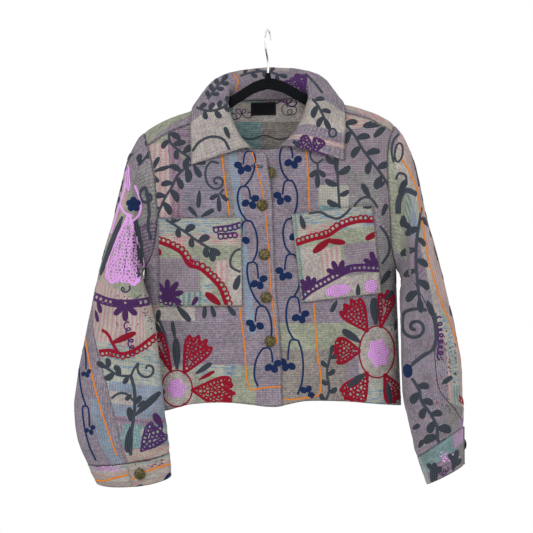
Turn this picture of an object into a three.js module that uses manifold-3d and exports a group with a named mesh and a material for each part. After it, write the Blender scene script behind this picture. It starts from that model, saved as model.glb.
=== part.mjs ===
// A cropped kantha jacket hanging on a slim flocked hanger.
// Millimetres, +Z up, +X to the viewer's right, -Y towards the viewer.
// The origin is the point inside the top of the hook that bears on a rail.
// "Right" and "left" are the wearer's: the right front is on the viewer's left, at negative X.

import * as THREE from "three";
import { mergeVertices } from "three/addons/utils/BufferGeometryUtils.js";
import Module from "manifold-3d";

const wasm = await Module();
wasm.setup();

// Driving sizes of the cloth.
const CLOTH = 2.2; // quilted cloth of the body and sleeves
const COLLAR_CLOTH = 2.8; // two layers turned in on each other
const CUFF_CLOTH = 2.6;
const SEAM_GAP = 0.3; // between two pieces that are sewn together
const LAP_GAP = 1; // between a piece and the cloth that it lies on
const BODY_CENTRE_X = 4; // the body hangs a little towards the wearer's left
const SIDE_HALF_WIDTH = 211; // half the body's hanging width at the underarm
const HEM_FLARE = 9; // more half width at the hem
const SHOULDER_SPREAD = 3.3; // how fast front and back part below the shoulder ridge
const NECK_HALF_WIDTH = 72;
const NECK_BACK_BULGE = 27; // how far the back neck stands off the hanger
const FRONT_LAP = 34; // how far the right front laps over the left one

// The hanger. Its top line is symmetric, then tilts, with the wearer's left end higher.
const HANGER_TILT = 0.041;
const HANGER_DEPTH = 5;
const HANGER_TOP = [
  { x: 0, z: -78, height: 20 },
  { x: 25, z: -85, height: 20 },
  { x: 60, z: -106, height: 20 },
  { x: 90, z: -119.5, height: 20 },
  { x: 120, z: -130.5, height: 19 },
  { x: 170, z: -146.5, height: 17 },
  { x: 195, z: -159, height: 14 },
  { x: 206, z: -166.5, height: 11 },
  { x: 213, z: -174, height: 8 },
];
const HANGER_END = 213;
const HANGER_SIDES = 10;
const HOOK_WIRE = 3.4;
const HOOK_RADIUS = 21; // of the wire's centre line
const HOOK_TURN = 13; // degrees between the hook's plane and the Y axis
const HOOK_PAST_TOP = 75; // degrees of arc after the top
const NUB_TOP = -71;
const UNDERARM = -400;
const BACK_NECK_DROP = 13;
const CLOTH_ON_HANGER = CLOTH + 2.4; // from the hanger's top line to the cloth's outside

// The right front's edge, which shows, from the neck to the hem.
const FRONT_EDGE = [
  { z: -205, x: -5 },
  { z: -269, x: 5.7 },
  { z: -338, x: 9.2 },
  { z: -435, x: 13.4 },
  { z: -522, x: 20.8 },
  { z: -627, x: 23.5 },
];
// The hem of each front and of the back, as height against place from side to side.
const HEM = [
  { x: -220, z: -641 },
  { x: -170, z: -635 },
  { x: -130, z: -624 },
  { x: -75, z: -620 },
  { x: -25, z: -624 },
  { x: 15, z: -627 },
  { x: 55, z: -618 },
  { x: 110, z: -618 },
  { x: 170, z: -623 },
  { x: 232, z: -629 },
];

// Each side of the wearer: where the collar ends in front, the armhole seam, the sleeve's rings and seams.
// A ring runs from its outer edge (ox, oy, oz) to its inner edge (ix, iy, iz), is `deep` from its middle to
// its front and back, and its front hangs `sag` lower. The upper sleeve goes from seamA to seamB, in degrees
// from the outer edge by way of the front.
const RIGHT = {
  name: "right",
  sign: -1,
  yoke: 22, // how far the back comes over the shoulder to the front
  yokeAngle: 36, // where that seam meets the armhole, as an angle of the sleeve
  collarEnd: { x: -30, z: -203 },
  armhole: [
    { z: -176, x: -207 },
    { z: -200, x: -199 },
    { z: -247, x: -190 },
    { z: -316, x: -185 },
    { z: -370, x: -192 },
    { z: -400, x: -207 },
  ],
  sleeve: [
    { ox: -207, oy: 0, oz: -176, ix: -207, iy: 0, iz: -400, deep: 46, sag: 0, seamA: -60, seamB: 180 },
    { ox: -231, oy: -2, oz: -205, ix: -209, iy: -6, iz: -407, deep: 38, sag: 0, seamA: -56, seamB: 180 },
    { ox: -244, oy: -5, oz: -252, ix: -208, iy: -18, iz: -414, deep: 41, sag: 0, seamA: -50, seamB: 181 },
    { ox: -260, oy: -8, oz: -318, ix: -206, iy: -32, iz: -425, deep: 41, sag: 0, seamA: -40, seamB: 182 },
    { ox: -277, oy: -10, oz: -380, ix: -198, iy: -46, iz: -446, deep: 37, sag: 0, seamA: -20, seamB: 184 },
    { ox: -292, oy: -12, oz: -446, ix: -188, iy: -57, iz: -482, deep: 33, sag: 0, seamA: 10, seamB: 186 },
    { ox: -306, oy: -14, oz: -512, ix: -181, iy: -63, iz: -533, deep: 31, sag: 0, seamA: 44, seamB: 188 },
    { ox: -317, oy: -16, oz: -572, ix: -175, iy: -64, iz: -590, deep: 30, sag: 2, seamA: 70, seamB: 190 },
    { ox: -324, oy: -18, oz: -627, ix: -170, iy: -64, iz: -640, deep: 30, sag: 4, seamA: 84, seamB: 192 },
    { ox: -318, oy: -22, oz: -683, ix: -165, iy: -62, iz: -678, deep: 27, sag: 6, seamA: 89, seamB: 194 },
    { ox: -301, oy: -26, oz: -724, ix: -163, iy: -60, iz: -702, deep: 23, sag: 8, seamA: 90, seamB: 195 },
  ],
  cuffEnd: { ox: -286, oy: -28, oz: -755, ix: -160, iy: -60, iz: -741, deep: 21, sag: 12 },
  cuffLapAt: 90,
  cuffTurn: 1,
  cuffGap: 0.015, // from the seam to each side, as a part of the way between rings
  cuffUnder: 16,
  cuffButton: 15,
};
const LEFT = {
  name: "left",
  sign: 1,
  yoke: 14,
  yokeAngle: 24,
  collarEnd: { x: 21, z: -198 },
  armhole: [
    { z: -160, x: 212 },
    { z: -185, x: 203 },
    { z: -215, x: 200 },
    { z: -255, x: 201 },
    { z: -320, x: 205 },
    { z: -370, x: 208 },
    { z: -398, x: 215 },
  ],
  sleeve: [
    { ox: 212, oy: 0, oz: -160, ix: 215, iy: 0, iz: -398, deep: 46, sag: 0, seamA: -60, seamB: 180 },
    { ox: 237, oy: -2, oz: -198, ix: 221, iy: -8, iz: -411, deep: 42, sag: 0, seamA: -57, seamB: 180 },
    { ox: 250, oy: -6, oz: -240, ix: 222, iy: -20, iz: -419, deep: 45, sag: 0, seamA: -55, seamB: 180 },
    { ox: 262, oy: -10, oz: -300, ix: 221, iy: -30, iz: -430, deep: 48, sag: 0, seamA: -52, seamB: 180 },
    { ox: 279, oy: -15, oz: -365, ix: 219, iy: -36, iz: -447, deep: 53, sag: 0, seamA: -48, seamB: 180 },
    { ox: 296, oy: -20, oz: -430, ix: 220, iy: -40, iz: -481, deep: 54, sag: 0, seamA: -42, seamB: 180 },
    { ox: 310, oy: -24, oz: -492, ix: 221, iy: -42, iz: -526, deep: 54, sag: 0, seamA: -34, seamB: 182 },
    { ox: 321, oy: -27, oz: -552, ix: 222, iy: -44, iz: -572, deep: 54, sag: 0, seamA: -24, seamB: 184 },
    { ox: 324, oy: -29, oz: -604, ix: 225, iy: -45, iz: -618, deep: 54, sag: 0, seamA: -10, seamB: 187 },
    { ox: 326, oy: -30, oz: -638, ix: 239, iy: -46, iz: -668, deep: 51, sag: -2, seamA: 4, seamB: 190 },
    { ox: 325, oy: -31, oz: -662, ix: 248, iy: -46, iz: -711, deep: 49, sag: -4, seamA: 14, seamB: 192 },
  ],
  cuffEnd: { ox: 325, oy: -32, oz: -726, ix: 264, iy: -46, iz: -757, deep: 46, sag: -2 },
  cuffLapAt: -8,
  cuffTurn: -1,
  cuffGap: 0.006,
  cuffUnder: 16,
  cuffButton: 15,
};

// Soft folds. On the body a fold runs from (x0, z0) to (x1, z1); on a sleeve from ring t0 at angle a0 to
// ring t1 at a1, with the width in degrees. A positive depth stands out, a negative one is a trough.
const BODY_FOLDS = {
  front: [
    { x0: -175, z0: -330, x1: -160, z1: -640, width: 20, depth: -7 },
    { x0: -112, z0: -430, x1: -98, z1: -650, width: 24, depth: 6 },
    { x0: -52, z0: -480, x1: -40, z1: -650, width: 20, depth: -5 },
    { x0: 62, z0: -470, x1: 70, z1: -650, width: 22, depth: 6 },
    { x0: 128, z0: -440, x1: 140, z1: -650, width: 24, depth: -7 },
    { x0: 184, z0: -215, x1: 190, z1: -390, width: 13, depth: 3.5 },
    { x0: -168, z0: -200, x1: -160, z1: -300, width: 15, depth: 4 },
  ],
  back: [
    { x0: -150, z0: -260, x1: -128, z1: -650, width: 26, depth: 8 },
    { x0: -66, z0: -300, x1: -60, z1: -650, width: 26, depth: -8 },
    { x0: 10, z0: -330, x1: 14, z1: -650, width: 24, depth: 8 },
    { x0: 82, z0: -300, x1: 76, z1: -650, width: 26, depth: -8 },
    { x0: 158, z0: -260, x1: 142, z1: -650, width: 26, depth: 8 },
  ],
};
const SLEEVE_FOLDS = {
  right: [
    { t0: 0.9, a0: 128, t1: 4.2, a1: 118, width: 16, depth: -8 },
    { t0: 2.4, a0: 150, t1: 5.8, a1: 92, width: 16, depth: 6 },
    { t0: 4.6, a0: 168, t1: 7.0, a1: 118, width: 15, depth: -5 },
    { t0: 7.2, a0: 40, t1: 9.6, a1: 58, width: 14, depth: -5 },
    { t0: 7.6, a0: 120, t1: 9.7, a1: 128, width: 13, depth: 4 },
    { t0: 1.2, a0: 232, t1: 4.6, a1: 250, width: 17, depth: -8 },
    { t0: 4.2, a0: 212, t1: 7.2, a1: 268, width: 16, depth: 6 },
    { t0: 6.8, a0: 300, t1: 9.6, a1: 290, width: 16, depth: -5 },
  ],
  left: [
    { t0: 0.8, a0: 132, t1: 4.4, a1: 122, width: 15, depth: -8 },
    { t0: 1.6, a0: 96, t1: 5.6, a1: 112, width: 14, depth: 6 },
    { t0: 4.8, a0: 150, t1: 7.6, a1: 96, width: 15, depth: -6 },
    { t0: 6.8, a0: 60, t1: 9.5, a1: 96, width: 14, depth: 5 },
    { t0: 8.4, a0: 160, t1: 10.1, a1: 150, width: 15, depth: 6 },
    { t0: 1.2, a0: 236, t1: 5.0, a1: 246, width: 16, depth: -8 },
    { t0: 4.0, a0: 262, t1: 8.2, a1: 236, width: 15, depth: 6 },
    { t0: 7.0, a0: 310, t1: 9.6, a1: 292, width: 15, depth: -5 },
  ],
};

// Pockets, lying on the fronts. Each has its middle, its size and its lean in degrees.
const POCKETS = [
  { name: "pocket_right", x: -113, z: -388, width: 139, height: 146, lean: 0.5 },
  { name: "pocket_left", x: 114.5, z: -374, width: 135, height: 148, lean: 6.5 },
];

// Buttons: the first is undone and shows beside the right front's edge.
const BUTTON = { cap: 9.5, dome: 4.2, rim: 1.4, post: 2.8 };
const BUTTON_HEIGHTS = [-240, -294, -376, -447, -519];
const BUTTON_FROM_EDGE = 17;
const BUTTONHOLE = { length: 19, width: 6.4 };
const BUTTON_LIFT = 7.5; // how far the right front rises over the undone button
const POCKET_MOUTH = 2; // how far a pocket's mouth stands open
const POCKET_SPARE = 0.9;

// The collar's roll line and free edge from its front end (s = 0) to the middle of the back (s = 1), for the
// wearer's right; the wearer's left mirrors it. The free edge's front end is the collar point.
const COLLAR = [
  { s: 0, rollX: -35, rollY: -44, rollZ: -197, edgeX: -128, edgeZ: -222, edgeY: -30 },
  { s: 0.18, rollX: -56, rollY: -45, rollZ: -168, edgeX: -129, edgeZ: -188, edgeY: -30 },
  { s: 0.36, rollX: -76, rollY: -36, rollZ: -128, edgeX: -130, edgeZ: -155, edgeY: -22 },
  { s: 0.52, rollX: -95, rollY: -8, rollZ: -95, edgeX: -127, edgeZ: -123, edgeY: -2 },
  { s: 0.68, rollX: -86, rollY: 30, rollZ: -74, edgeX: -116, edgeZ: -122, edgeY: 38 },
  { s: 0.84, rollX: -50, rollY: 52, rollZ: -61, edgeX: -70, edgeZ: -130, edgeY: 66 },
  { s: 1, rollX: 0, rollY: 60, rollZ: -56, edgeX: 0, edgeZ: -134, edgeY: 76 },
];
const COLLAR_TILT = 0.03; // the wearer's left half sits higher
const LABEL = { x: -8, top: 15, width: 44, height: 22, thick: 0.8 };

const COLOUR = {
  cloth: 0xa39aa0,
  patch: 0xb9b5a6,
  velvet: 0x0b0b0d,
  wire: 0xc9cdd2,
  brass: 0x6b6040,
  label: 0x1b1c1a,
};

const radians = THREE.MathUtils.degToRad;
const clamp = THREE.MathUtils.clamp;
const smooth = (x) => THREE.MathUtils.smoothstep(x, 0, 1);
const mix = THREE.MathUtils.lerp;
const at3 = (x, y, z) => new THREE.Vector3(x, y, z);
const steps = (n, make) => Array.from({ length: n + 1 }, (_, i) => make(i / n, i));

// A smooth value between the rows of a table, keyed by one column and clamped at its ends.
function between(rows, key, column, at) {
  const rising = rows[1][key] > rows[0][key] ? 1 : -1;
  const last = rows.length - 1;
  let i = 0;
  while (i < last - 1 && rising * (at - rows[i + 1][key]) > 0) i++;
  const slope = (k) => {
    const a = rows[Math.max(k - 1, 0)];
    const b = rows[Math.min(k + 1, last)];
    return (b[column] - a[column]) / (b[key] - a[key]);
  };
  const [p, q] = [rows[i], rows[i + 1]];
  const span = q[key] - p[key];
  const t = clamp((at - p[key]) / span, 0, 1);
  const [t2, t3] = [t * t, t * t * t];
  return (
    (2 * t3 - 3 * t2 + 1) * p[column] +
    (t3 - 2 * t2 + t) * span * slope(i) +
    (3 * t2 - 2 * t3) * q[column] +
    (t3 - t2) * span * slope(i + 1)
  );
}

// How much a soft fold moves a point at (x, y) that lies beside the line from (x0, y0) to (x1, y1).
function foldAt(x, y, x0, y0, x1, y1, width, depth, stretch = 1) {
  const [dx, dy] = [x1 - x0, (y1 - y0) * stretch];
  const [px, py] = [x - x0, (y - y0) * stretch];
  const length2 = dx * dx + dy * dy;
  const along = (px * dx + py * dy) / length2;
  const across = (px * dy - py * dx) / Math.sqrt(length2);
  const ends = smooth((along + 0.15) / 0.45) * smooth((1.15 - along) / 0.3);
  return depth * ends * Math.exp(-((across / width) ** 2));
}

// The body: how high the shoulder ridge is, how wide the body is, and how far front and back stand off the
// middle.
function hangerTop(x) {
  return between(HANGER_TOP, "x", "z", Math.min(Math.abs(x), HANGER_END)) + HANGER_TILT * x;
}
function ridge(x) {
  const side = x < 0 ? -1 : 1;
  const from = NECK_HALF_WIDTH - 12;
  const level = (hangerTop(from) + hangerTop(-from)) / 2;
  const lift = 1.3 * Math.exp(-(((Math.abs(x) - 67.5) / 6) ** 2)); // clear of the hanger at the neck's edge
  const shoulder = hangerTop(side * Math.max(Math.abs(x), from));
  return CLOTH_ON_HANGER + lift + mix(level, shoulder, smooth(Math.abs(x) / from));
}
const hemAt = (x) => between(HEM, "x", "z", clamp(x, -220, 232));

function halfWidth(z) {
  const above = clamp((z - UNDERARM) / 200, 0, 1.3);
  const below = clamp((UNDERARM - z) / 230, 0, 1);
  return SIDE_HALF_WIDTH + 75 * above ** 0.6 + HEM_FLARE * below;
}

function stand(x, z) {
  const down = Math.max(ridge(x) - z, 0);
  const across = Math.min(Math.abs(x - BODY_CENTRE_X) / halfWidth(z), 1);
  const round = Math.sqrt(1 - across ** 2);
  return SHOULDER_SPREAD * Math.sqrt(down) * (1 - (1 - round) * smooth(down / 70));
}

function bodyFolds(folds, x, z) {
  const side = smooth((halfWidth(z) - Math.abs(x - BODY_CENTRE_X)) / 34);
  return side * folds.reduce((sum, f) => sum + foldAt(x, z, f.x0, f.z0, f.x1, f.z1, f.width, f.depth), 0);
}

// The fronts' outer face. The right front rises over the left one, and over its undone button.
function frontPoint(x, z, lapping) {
  const overButton = BUTTON_LIFT * Math.exp(-(((z - BUTTON_HEIGHTS[0]) / 42) ** 2));
  const lift = lapping ? (CLOTH + LAP_GAP + overButton) * smooth((x + 62) / 40) : 0;
  return at3(x, -stand(x, z) - bodyFolds(BODY_FOLDS.front, x, z) - lift, z);
}

// The back's outer face, at a height counted down from the ridge. Negative heights are in front of it.
function backPoint(x, down) {
  const z = ridge(x) - Math.abs(down);
  if (down < 0) return at3(x, -stand(x, z), z);
  const neck = Math.abs(x) < 85 ? Math.cos((Math.PI * x) / 170) ** 2 : 0;
  const bulge = NECK_BACK_BULGE * neck * Math.exp(-Math.max(down - 10, 0) / 170) * smooth((down + 2) / 9);
  return at3(x, stand(x, z) + bulge + bodyFolds(BODY_FOLDS.back, x, z), z);
}
const backStart = (x) => mix(-yokeAt(x), BACK_NECK_DROP, smooth((NECK_HALF_WIDTH - Math.abs(x)) / 8));

// The normal of a surface place(u, v), turned to the outside by `side`.
function normalOf(place, u, v, du, dv, side) {
  const a = place(u + du, v).sub(place(u - du, v));
  const b = place(u, v + dv).sub(place(u, v - dv));
  return a.cross(b).normalize().multiplyScalar(side);
}

// Turns a closed mesh right side out, by the sign of its volume.
function outsideOut(geometry) {
  const p = geometry.attributes.position;
  const index = geometry.index.array;
  const corner = (i) => new THREE.Vector3().fromBufferAttribute(p, index[i]);
  let volume = 0;
  for (let i = 0; i < index.length; i += 3) volume += corner(i).dot(corner(i + 1).cross(corner(i + 2)));
  if (volume < 0) geometry.setIndex([...index].reverse());
  return geometry;
}

// A closed solid between two grids of the same size.
function solidBetween(outer, inner) {
  const rows = outer.length;
  const columns = outer[0].length;
  const count = rows * columns;
  const id = (r, c) => r * columns + c;
  const faces = [];
  const quad = (a, b, c, d) => faces.push(a, b, c, a, c, d);
  for (let r = 0; r + 1 < rows; r++)
    for (let c = 0; c + 1 < columns; c++) {
      const [a, b, d, e] = [id(r, c), id(r, c + 1), id(r + 1, c + 1), id(r + 1, c)];
      quad(a, e, d, b);
      quad(count + a, count + b, count + d, count + e);
    }
  for (let c = 0; c + 1 < columns; c++) {
    const [a, b, d, e] = [id(0, c), id(0, c + 1), id(rows - 1, c), id(rows - 1, c + 1)];
    quad(a, b, count + b, count + a);
    quad(d, count + d, count + e, e);
  }
  for (let r = 0; r + 1 < rows; r++) {
    const [a, b, d, e] = [id(r, 0), id(r + 1, 0), id(r, columns - 1), id(r + 1, columns - 1)];
    quad(a, count + a, count + b, b);
    quad(d, e, count + e, count + d);
  }
  const geometry = new THREE.BufferGeometry();
  const places = [...outer.flat(), ...inner.flat()].flatMap((p) => [p.x, p.y, p.z]);
  geometry.setAttribute("position", new THREE.Float32BufferAttribute(places, 3));
  geometry.setIndex(faces);
  return outsideOut(geometry);
}

// A sheet of cloth: place(u, v) is its outer face, `pairs` its grid of [u, v], and `fix` keeps a point on its
// side of a seam.
function clothWall(place, pairs, thickness, side = 1, options = {}) {
  const { du = 0.05, dv = 0.05, fix = (p) => p, turn = (n) => n } = options;
  const outer = pairs.map((row, r) => row.map(([u, v], c) => fix(place(u, v), r, c)));
  const inner = pairs.map((row, r) =>
    row.map(([u, v], c) => {
      const normal = turn(normalOf(place, u, v, du, dv, side), u, v);
      return fix(place(u, v).addScaledVector(normal, -thickness), r, c, outer[r][c]);
    }),
  );
  return solidBetween(outer, inner);
}

// The neckline of a front, from the shoulder (t = 0) to the collar's end (t = 1), as x and z.
function neckline(side, t) {
  const neckX = side.sign * NECK_HALF_WIDTH;
  const neckZ = ridge(neckX) - side.yoke;
  const { x, z } = side.collarEnd;
  const [a, b, c] = [(1 - t) ** 2, 2 * t * (1 - t), t * t];
  return [a * neckX + b * neckX * 0.9 + c * x, a * neckZ + b * (z + 20) + c * z];
}
const frontEdge = (side, z) => between(FRONT_EDGE, "z", "x", z) - (side === LEFT ? FRONT_LAP : 0);
const sideEdge = (side, z) => BODY_CENTRE_X + side.sign * halfWidth(z);
const armEdge = (side, z) => between(side.armhole, "z", "x", clamp(z, UNDERARM, side.armhole[0].z));

// The armhole at an angle that its sleeve uses too: 0 is the shoulder, 180 the underarm.
function armHeight(side, a) {
  return mix(ridge(side.armhole[0].x), UNDERARM, (1 - Math.cos(radians(a))) / 2);
}

// How far in front of the ridge the shoulder seam runs. It meets the armhole where the sleeve has a column.
function yokeEnd(side) {
  const z = armHeight(side, side.yokeAngle);
  return [armEdge(side, z), z];
}
function yokeAt(x) {
  const side = x < 0 ? RIGHT : LEFT;
  const [endX, endZ] = yokeEnd(side);
  return mix(side.yoke, ridge(endX) - endZ, smooth((Math.abs(x) - 150) / (Math.abs(endX) - 150)));
}

// One front. Its rows go from the shoulder seam to the hem, each from the neckline or front edge to the
// armhole or side seam.
function frontPanel(side) {
  const lapping = side === RIGHT;
  const topZ = side.collarEnd.z - 3;
  const inner = steps(6, (t) => neckline(side, t));
  inner.push([mix(side.collarEnd.x, frontEdge(side, topZ), 0.5), topZ]);
  const hemZ = hemAt(frontEdge(side, -624));
  steps(15, (t) => inner.push([frontEdge(side, mix(topZ, hemZ, t)), mix(topZ, hemZ, t)]));
  const last = inner.length - 1;
  const arm = (180 - side.yokeAngle) / 12;
  const outer = steps(last, (_, r) => {
    const z = armHeight(side, side.yokeAngle + 12 * r);
    if (r <= arm) return [armEdge(side, z), z];
    const low = mix(UNDERARM, hemAt(sideEdge(side, -624)), (r - arm) / (last - arm));
    return [sideEdge(side, low), low];
  });
  const pairs = steps(last, (_, r) =>
    steps(13, (u) => {
      const eased = 0.55 * Math.sin((u * Math.PI) / 2) + 0.45 * u;
      const x = mix(inner[r][0], outer[r][0], eased);
      if (r === last) return [x, hemAt(x)];
      if (r === 0) return [x, ridge(x) - yokeAt(x) - SEAM_GAP * (lapping ? 3.4 : 2)];
      return [x, mix(inner[r][1], outer[r][1], eased)];
    }),
  );
  const place = (x, z) => frontPoint(x, z, lapping);
  const fix = (p) => at3(p.x, Math.min(p.y, -SEAM_GAP / 2), p.z);
  return clothWall(place, pairs, CLOTH, 1, { fix });
}

// The back, with its columns from the wearer's right side to the left one.
function backPanel() {
  const half = (crossing) => [0, 17, 34, 50, 61, 65.5, crossing, 69.5, 73, 97, 125, 150, 168, 182, 192, 200];
  const armDrops = (side) => {
    const from = ridge(side.armhole[0].x);
    const angles = [12, 24, 36, 48, 60, 72, 84, 96, 108, 120, 132, 144, 156, 180];
    const drops = angles.map((a) => from - armHeight(side, a));
    const second = side === RIGHT ? drops[1] : (drops[0] + drops[1]) / 2;
    return [-side.yoke, -second, -drops[0], -0.6, 0, 0.6, ...drops];
  };
  const rows = 27;
  const heights = (x, total) => {
    const tops = armDrops(x < 0 ? RIGHT : LEFT);
    const fixed = tops.length - 1;
    const start = backStart(x);
    const neckRows = 12;
    return steps(rows, (_, r) => {
      if (start < -0.5 && r < 4) return (start * tops[r]) / tops[0];
      if (start >= -0.5 && r < neckRows) return mix(start, tops[neckRows], (r / neckRows) ** 2.2);
      return r <= fixed ? tops[r] : mix(tops[fixed], total, (r - fixed) / (rows - fixed));
    });
  };
  const edge = (side) => {
    const tops = armDrops(side);
    const fixed = tops.length - 1;
    return steps(rows, (_, r) => {
      if (r === 0) return [yokeEnd(side)[0], yokeEnd(side)[1] - ridge(yokeEnd(side)[0])];
      const z = ridge(side.armhole[0].x) - Math.abs(tops[Math.min(r, fixed)]);
      const low = mix(UNDERARM, hemAt(sideEdge(side, -624)), (r - fixed) / (rows - fixed));
      const x = r <= fixed ? armEdge(side, z) : sideEdge(side, low);
      return [x, (ridge(x) - (r <= fixed ? z : low)) * (tops[r] < 0 ? -1 : 1)];
    });
  };
  const [rightEdge, leftEdge] = [edge(RIGHT), edge(LEFT)];
  const inside = (x) => {
    const limits = x < 0 ? rightEdge : leftEdge;
    return heights(x, ridge(x) - hemAt(x)).map((down, r) => {
      const reach = (Math.abs(limits[r][0]) - 100) / (207 - 100);
      return [Math.abs(x) < 100 ? x : Math.sign(x) * (100 + (Math.abs(x) - 100) * reach), down];
    });
  };
  const columns = [rightEdge];
  const [rightHalf, leftHalf] = [half(67.31), half(67.91)];
  for (let i = rightHalf.length - 1; i > 0; i--) columns.push(inside(-rightHalf[i]));
  leftHalf.forEach((x) => columns.push(inside(x)));
  columns.push(leftEdge);
  const onHem = ([x]) => [x, ridge(x) - hemAt(x)];
  const pairs = steps(rows, (_, r) => columns.map((c) => (r === rows ? onHem(c[r]) : c[r])));
  const atSide = (r, c) => r > 12 && (c === 0 || c === columns.length - 1);
  const fix = (p, r, c) => (atSide(r, c) ? at3(p.x, Math.max(p.y, SEAM_GAP / 2), p.z) : p);
  return clothWall(backPoint, pairs, CLOTH, 1, { fix });
}

// A sleeve's outer face, at ring t and angle a in degrees: 0 is the outer edge, 90 the front, 180 the inner
// edge.
function sleevePoint(side, t, a) {
  const ring = (column) => between(side.rings, "t", column, t);
  const [c, s] = [Math.cos(radians(a)), Math.sin(radians(a))];
  const half = (o, i) => (ring(o) - ring(i)) / 2;
  const mid = (o, i) => (ring(o) + ring(i)) / 2;
  const p = at3(
    mid("ox", "ix") + c * half("ox", "ix"),
    mid("oy", "iy") + c * half("oy", "iy") - s * ring("deep"),
    mid("oz", "iz") + c * half("oz", "iz") - ring("sag") * Math.max(s, 0),
  );
  const outwards = at3(c * side.sign, -s, c * 0.6).normalize();
  const turned = a < -90 ? a + 360 : a;
  const fold = side.folds.reduce(
    (sum, f) => sum + foldAt(turned, t, f.a0, f.t0, f.a1, f.t1, f.width, f.depth, 20),
    0,
  );
  p.addScaledVector(outwards, fold * smooth(t / 0.8) * smooth((10.6 - t) / 0.9));
  if (t >= 1) return p;
  const top = side.armhole[1].x;
  const z = mix(ridge(side.armhole[0].x), UNDERARM, (1 - c) / 2);
  const x = armEdge(side, z);
  const body = (px) => (s >= 0 ? frontPoint(px, z, false) : backPoint(px, Math.max(ridge(px) - z, 0)));
  const start = body(x);
  const slope = clamp((body(x + side.sign / 2).y - start.y) * 2, -0.7, 0.7);
  const drop = clamp((ridge(top) - ridge(top + side.sign * 8)) / 8, 0, 1) * Math.max(c, 0);
  const hang = 1.6 * smooth((-c - 0.5) / 0.5);
  const away = at3(side.sign, slope * Math.min(Math.abs(s) / 0.25, 1), -drop - hang).normalize();
  start.x += side.sign * SEAM_GAP * (1.4 + 1.4 * Math.max(c, 0));
  start.addScaledVector(away, mix(40, 16, smooth((-c - 0.5) / 0.4)) * Math.max(t, 0));
  return start.lerp(p, smooth(t));
}

// Under the arm, where the rings fan out from one place, the wall goes to the middle of its ring.
function underarmTurn(side, normal, t, a) {
  const c = Math.cos(radians(a));
  const [outer, inner] = [sleevePoint(side, t, 0), sleevePoint(side, t, 180)];
  const down = inner.sub(outer).normalize();
  const ring = down.multiplyScalar(-c).add(at3(0, -Math.sin(radians(a)) * 1.6, 0)).normalize();
  return normal.lerp(ring, smooth((-c - 0.6) / 0.3) * smooth((5 - t) / 1.5)).normalize();
}

// The part of a sleeve between two of its seams, which are columns of its rings.
function sleevePiece(side, from, to, turn, columns) {
  const place = (t, a) => sleevePoint(side, t, a);
  const rows = [0, 0.12, 0.3, 0.55, 0.8];
  for (let t = 1; t < 9.8; t += 0.6) rows.push(t);
  rows.push(10 - side.cuffGap);
  const pairs = rows.map((t) => {
    const start = between(side.rings, "t", from, t);
    const end = between(side.rings, "t", to, t) + turn;
    const inset = (a) => (SEAM_GAP / 2) / (place(t, a + 0.5).distanceTo(place(t, a - 0.5)) + 0.02);
    return steps(columns, (u) => [t, mix(start + inset(start), end - inset(end), u)]);
  });
  const turned = (normal, t, a) => underarmTurn(side, normal, t, a);
  return clothWall(place, pairs, CLOTH, -side.sign, { du: 0.002, dv: 0.2, turn: turned });
}

// A cuff: a band that laps itself, its free end on top, from `cuffLapAt` on in the direction `cuffTurn`.
function cuffPoint(side, t, w) {
  const place = (tt, a) => sleevePoint(side, tt, a);
  const a = side.cuffLapAt + side.cuffTurn * w;
  const normal = normalOf(place, t, a, 0.002, 0.2, -side.sign);
  const lift = 0.5 + (CUFF_CLOTH + LAP_GAP) * (1 - smooth((w - 22) / 26));
  return place(t, a).addScaledVector(normal, lift);
}
function cuff(side) {
  const rows = [10 + side.cuffGap, 10.33, 10.66, 11];
  const pairs = rows.map((t) => steps(28, (u) => [t, u * (360 + side.cuffUnder)]));
  const place = (t, w) => cuffPoint(side, t, w);
  return clothWall(place, pairs, CUFF_CLOTH, -side.sign * side.cuffTurn, { du: 0.002, dv: 0.2 });
}

// Where a collar starts, from its front end (s = 0) by way of the shoulder to the middle of the back (s = 1).
function collarSeam(side, s) {
  const shoulder = 0.5;
  if (s <= shoulder) {
    const t = 1 - s / shoulder;
    const [x, z] = neckline(side, t);
    const p = frontPoint(x, z, side === RIGHT);
    const inward = at3(-side.sign, 0, 0.75).normalize();
    return p.addScaledVector(inward, COLLAR_CLOTH + 2.2).add(at3(0, 1, 0));
  }
  const share = (s - shoulder) / (1 - shoulder);
  const x = side.sign * mix(NECK_HALF_WIDTH, 0, share ** 1.35);
  const p = backPoint(x, backStart(x));
  const flat = smooth((NECK_HALF_WIDTH - Math.abs(x)) / 26);
  const inward = at3(-side.sign, 0, 0.75).normalize().multiplyScalar((COLLAR_CLOTH + 2.2) * (1 - flat));
  return p.add(inward).add(at3(0, 1 - flat - (CLOTH + 0.6) * flat, 0.9 * flat));
}
function collarPoint(s, v) {
  const side = s < 0 ? RIGHT : LEFT;
  const along = 1 - Math.abs(s);
  const row = (column) => between(COLLAR, "s", column, along);
  const tilt = (x) => COLLAR_TILT * x;
  const x1 = side.sign * -row("rollX");
  const x2 = side.sign * -row("edgeX");
  const seam = collarSeam(side, along);
  const roll = at3(x1, row("rollY"), row("rollZ") + tilt(x1));
  const edge = at3(x2, row("edgeY"), row("edgeZ") + tilt(x2));
  const rise = at3(mix(seam.x, roll.x, 0.04), mix(seam.y, roll.y, 0.25), mix(seam.z, roll.z, 0.62));
  const curve = new THREE.CatmullRomCurve3([seam, rise, roll, edge]);
  const p = curve.getPoint(clamp(v, 0, 1));
  if (p.y < 10 && p.z < ridge(p.x)) {
    const under = frontPoint(p.x, p.z, side === RIGHT).y - COLLAR_CLOTH - LAP_GAP * 1.6;
    const free = smooth(v / 0.5);
    p.y = Math.min(p.y, mix(p.y, under, free));
  }
  return p;
}
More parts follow.
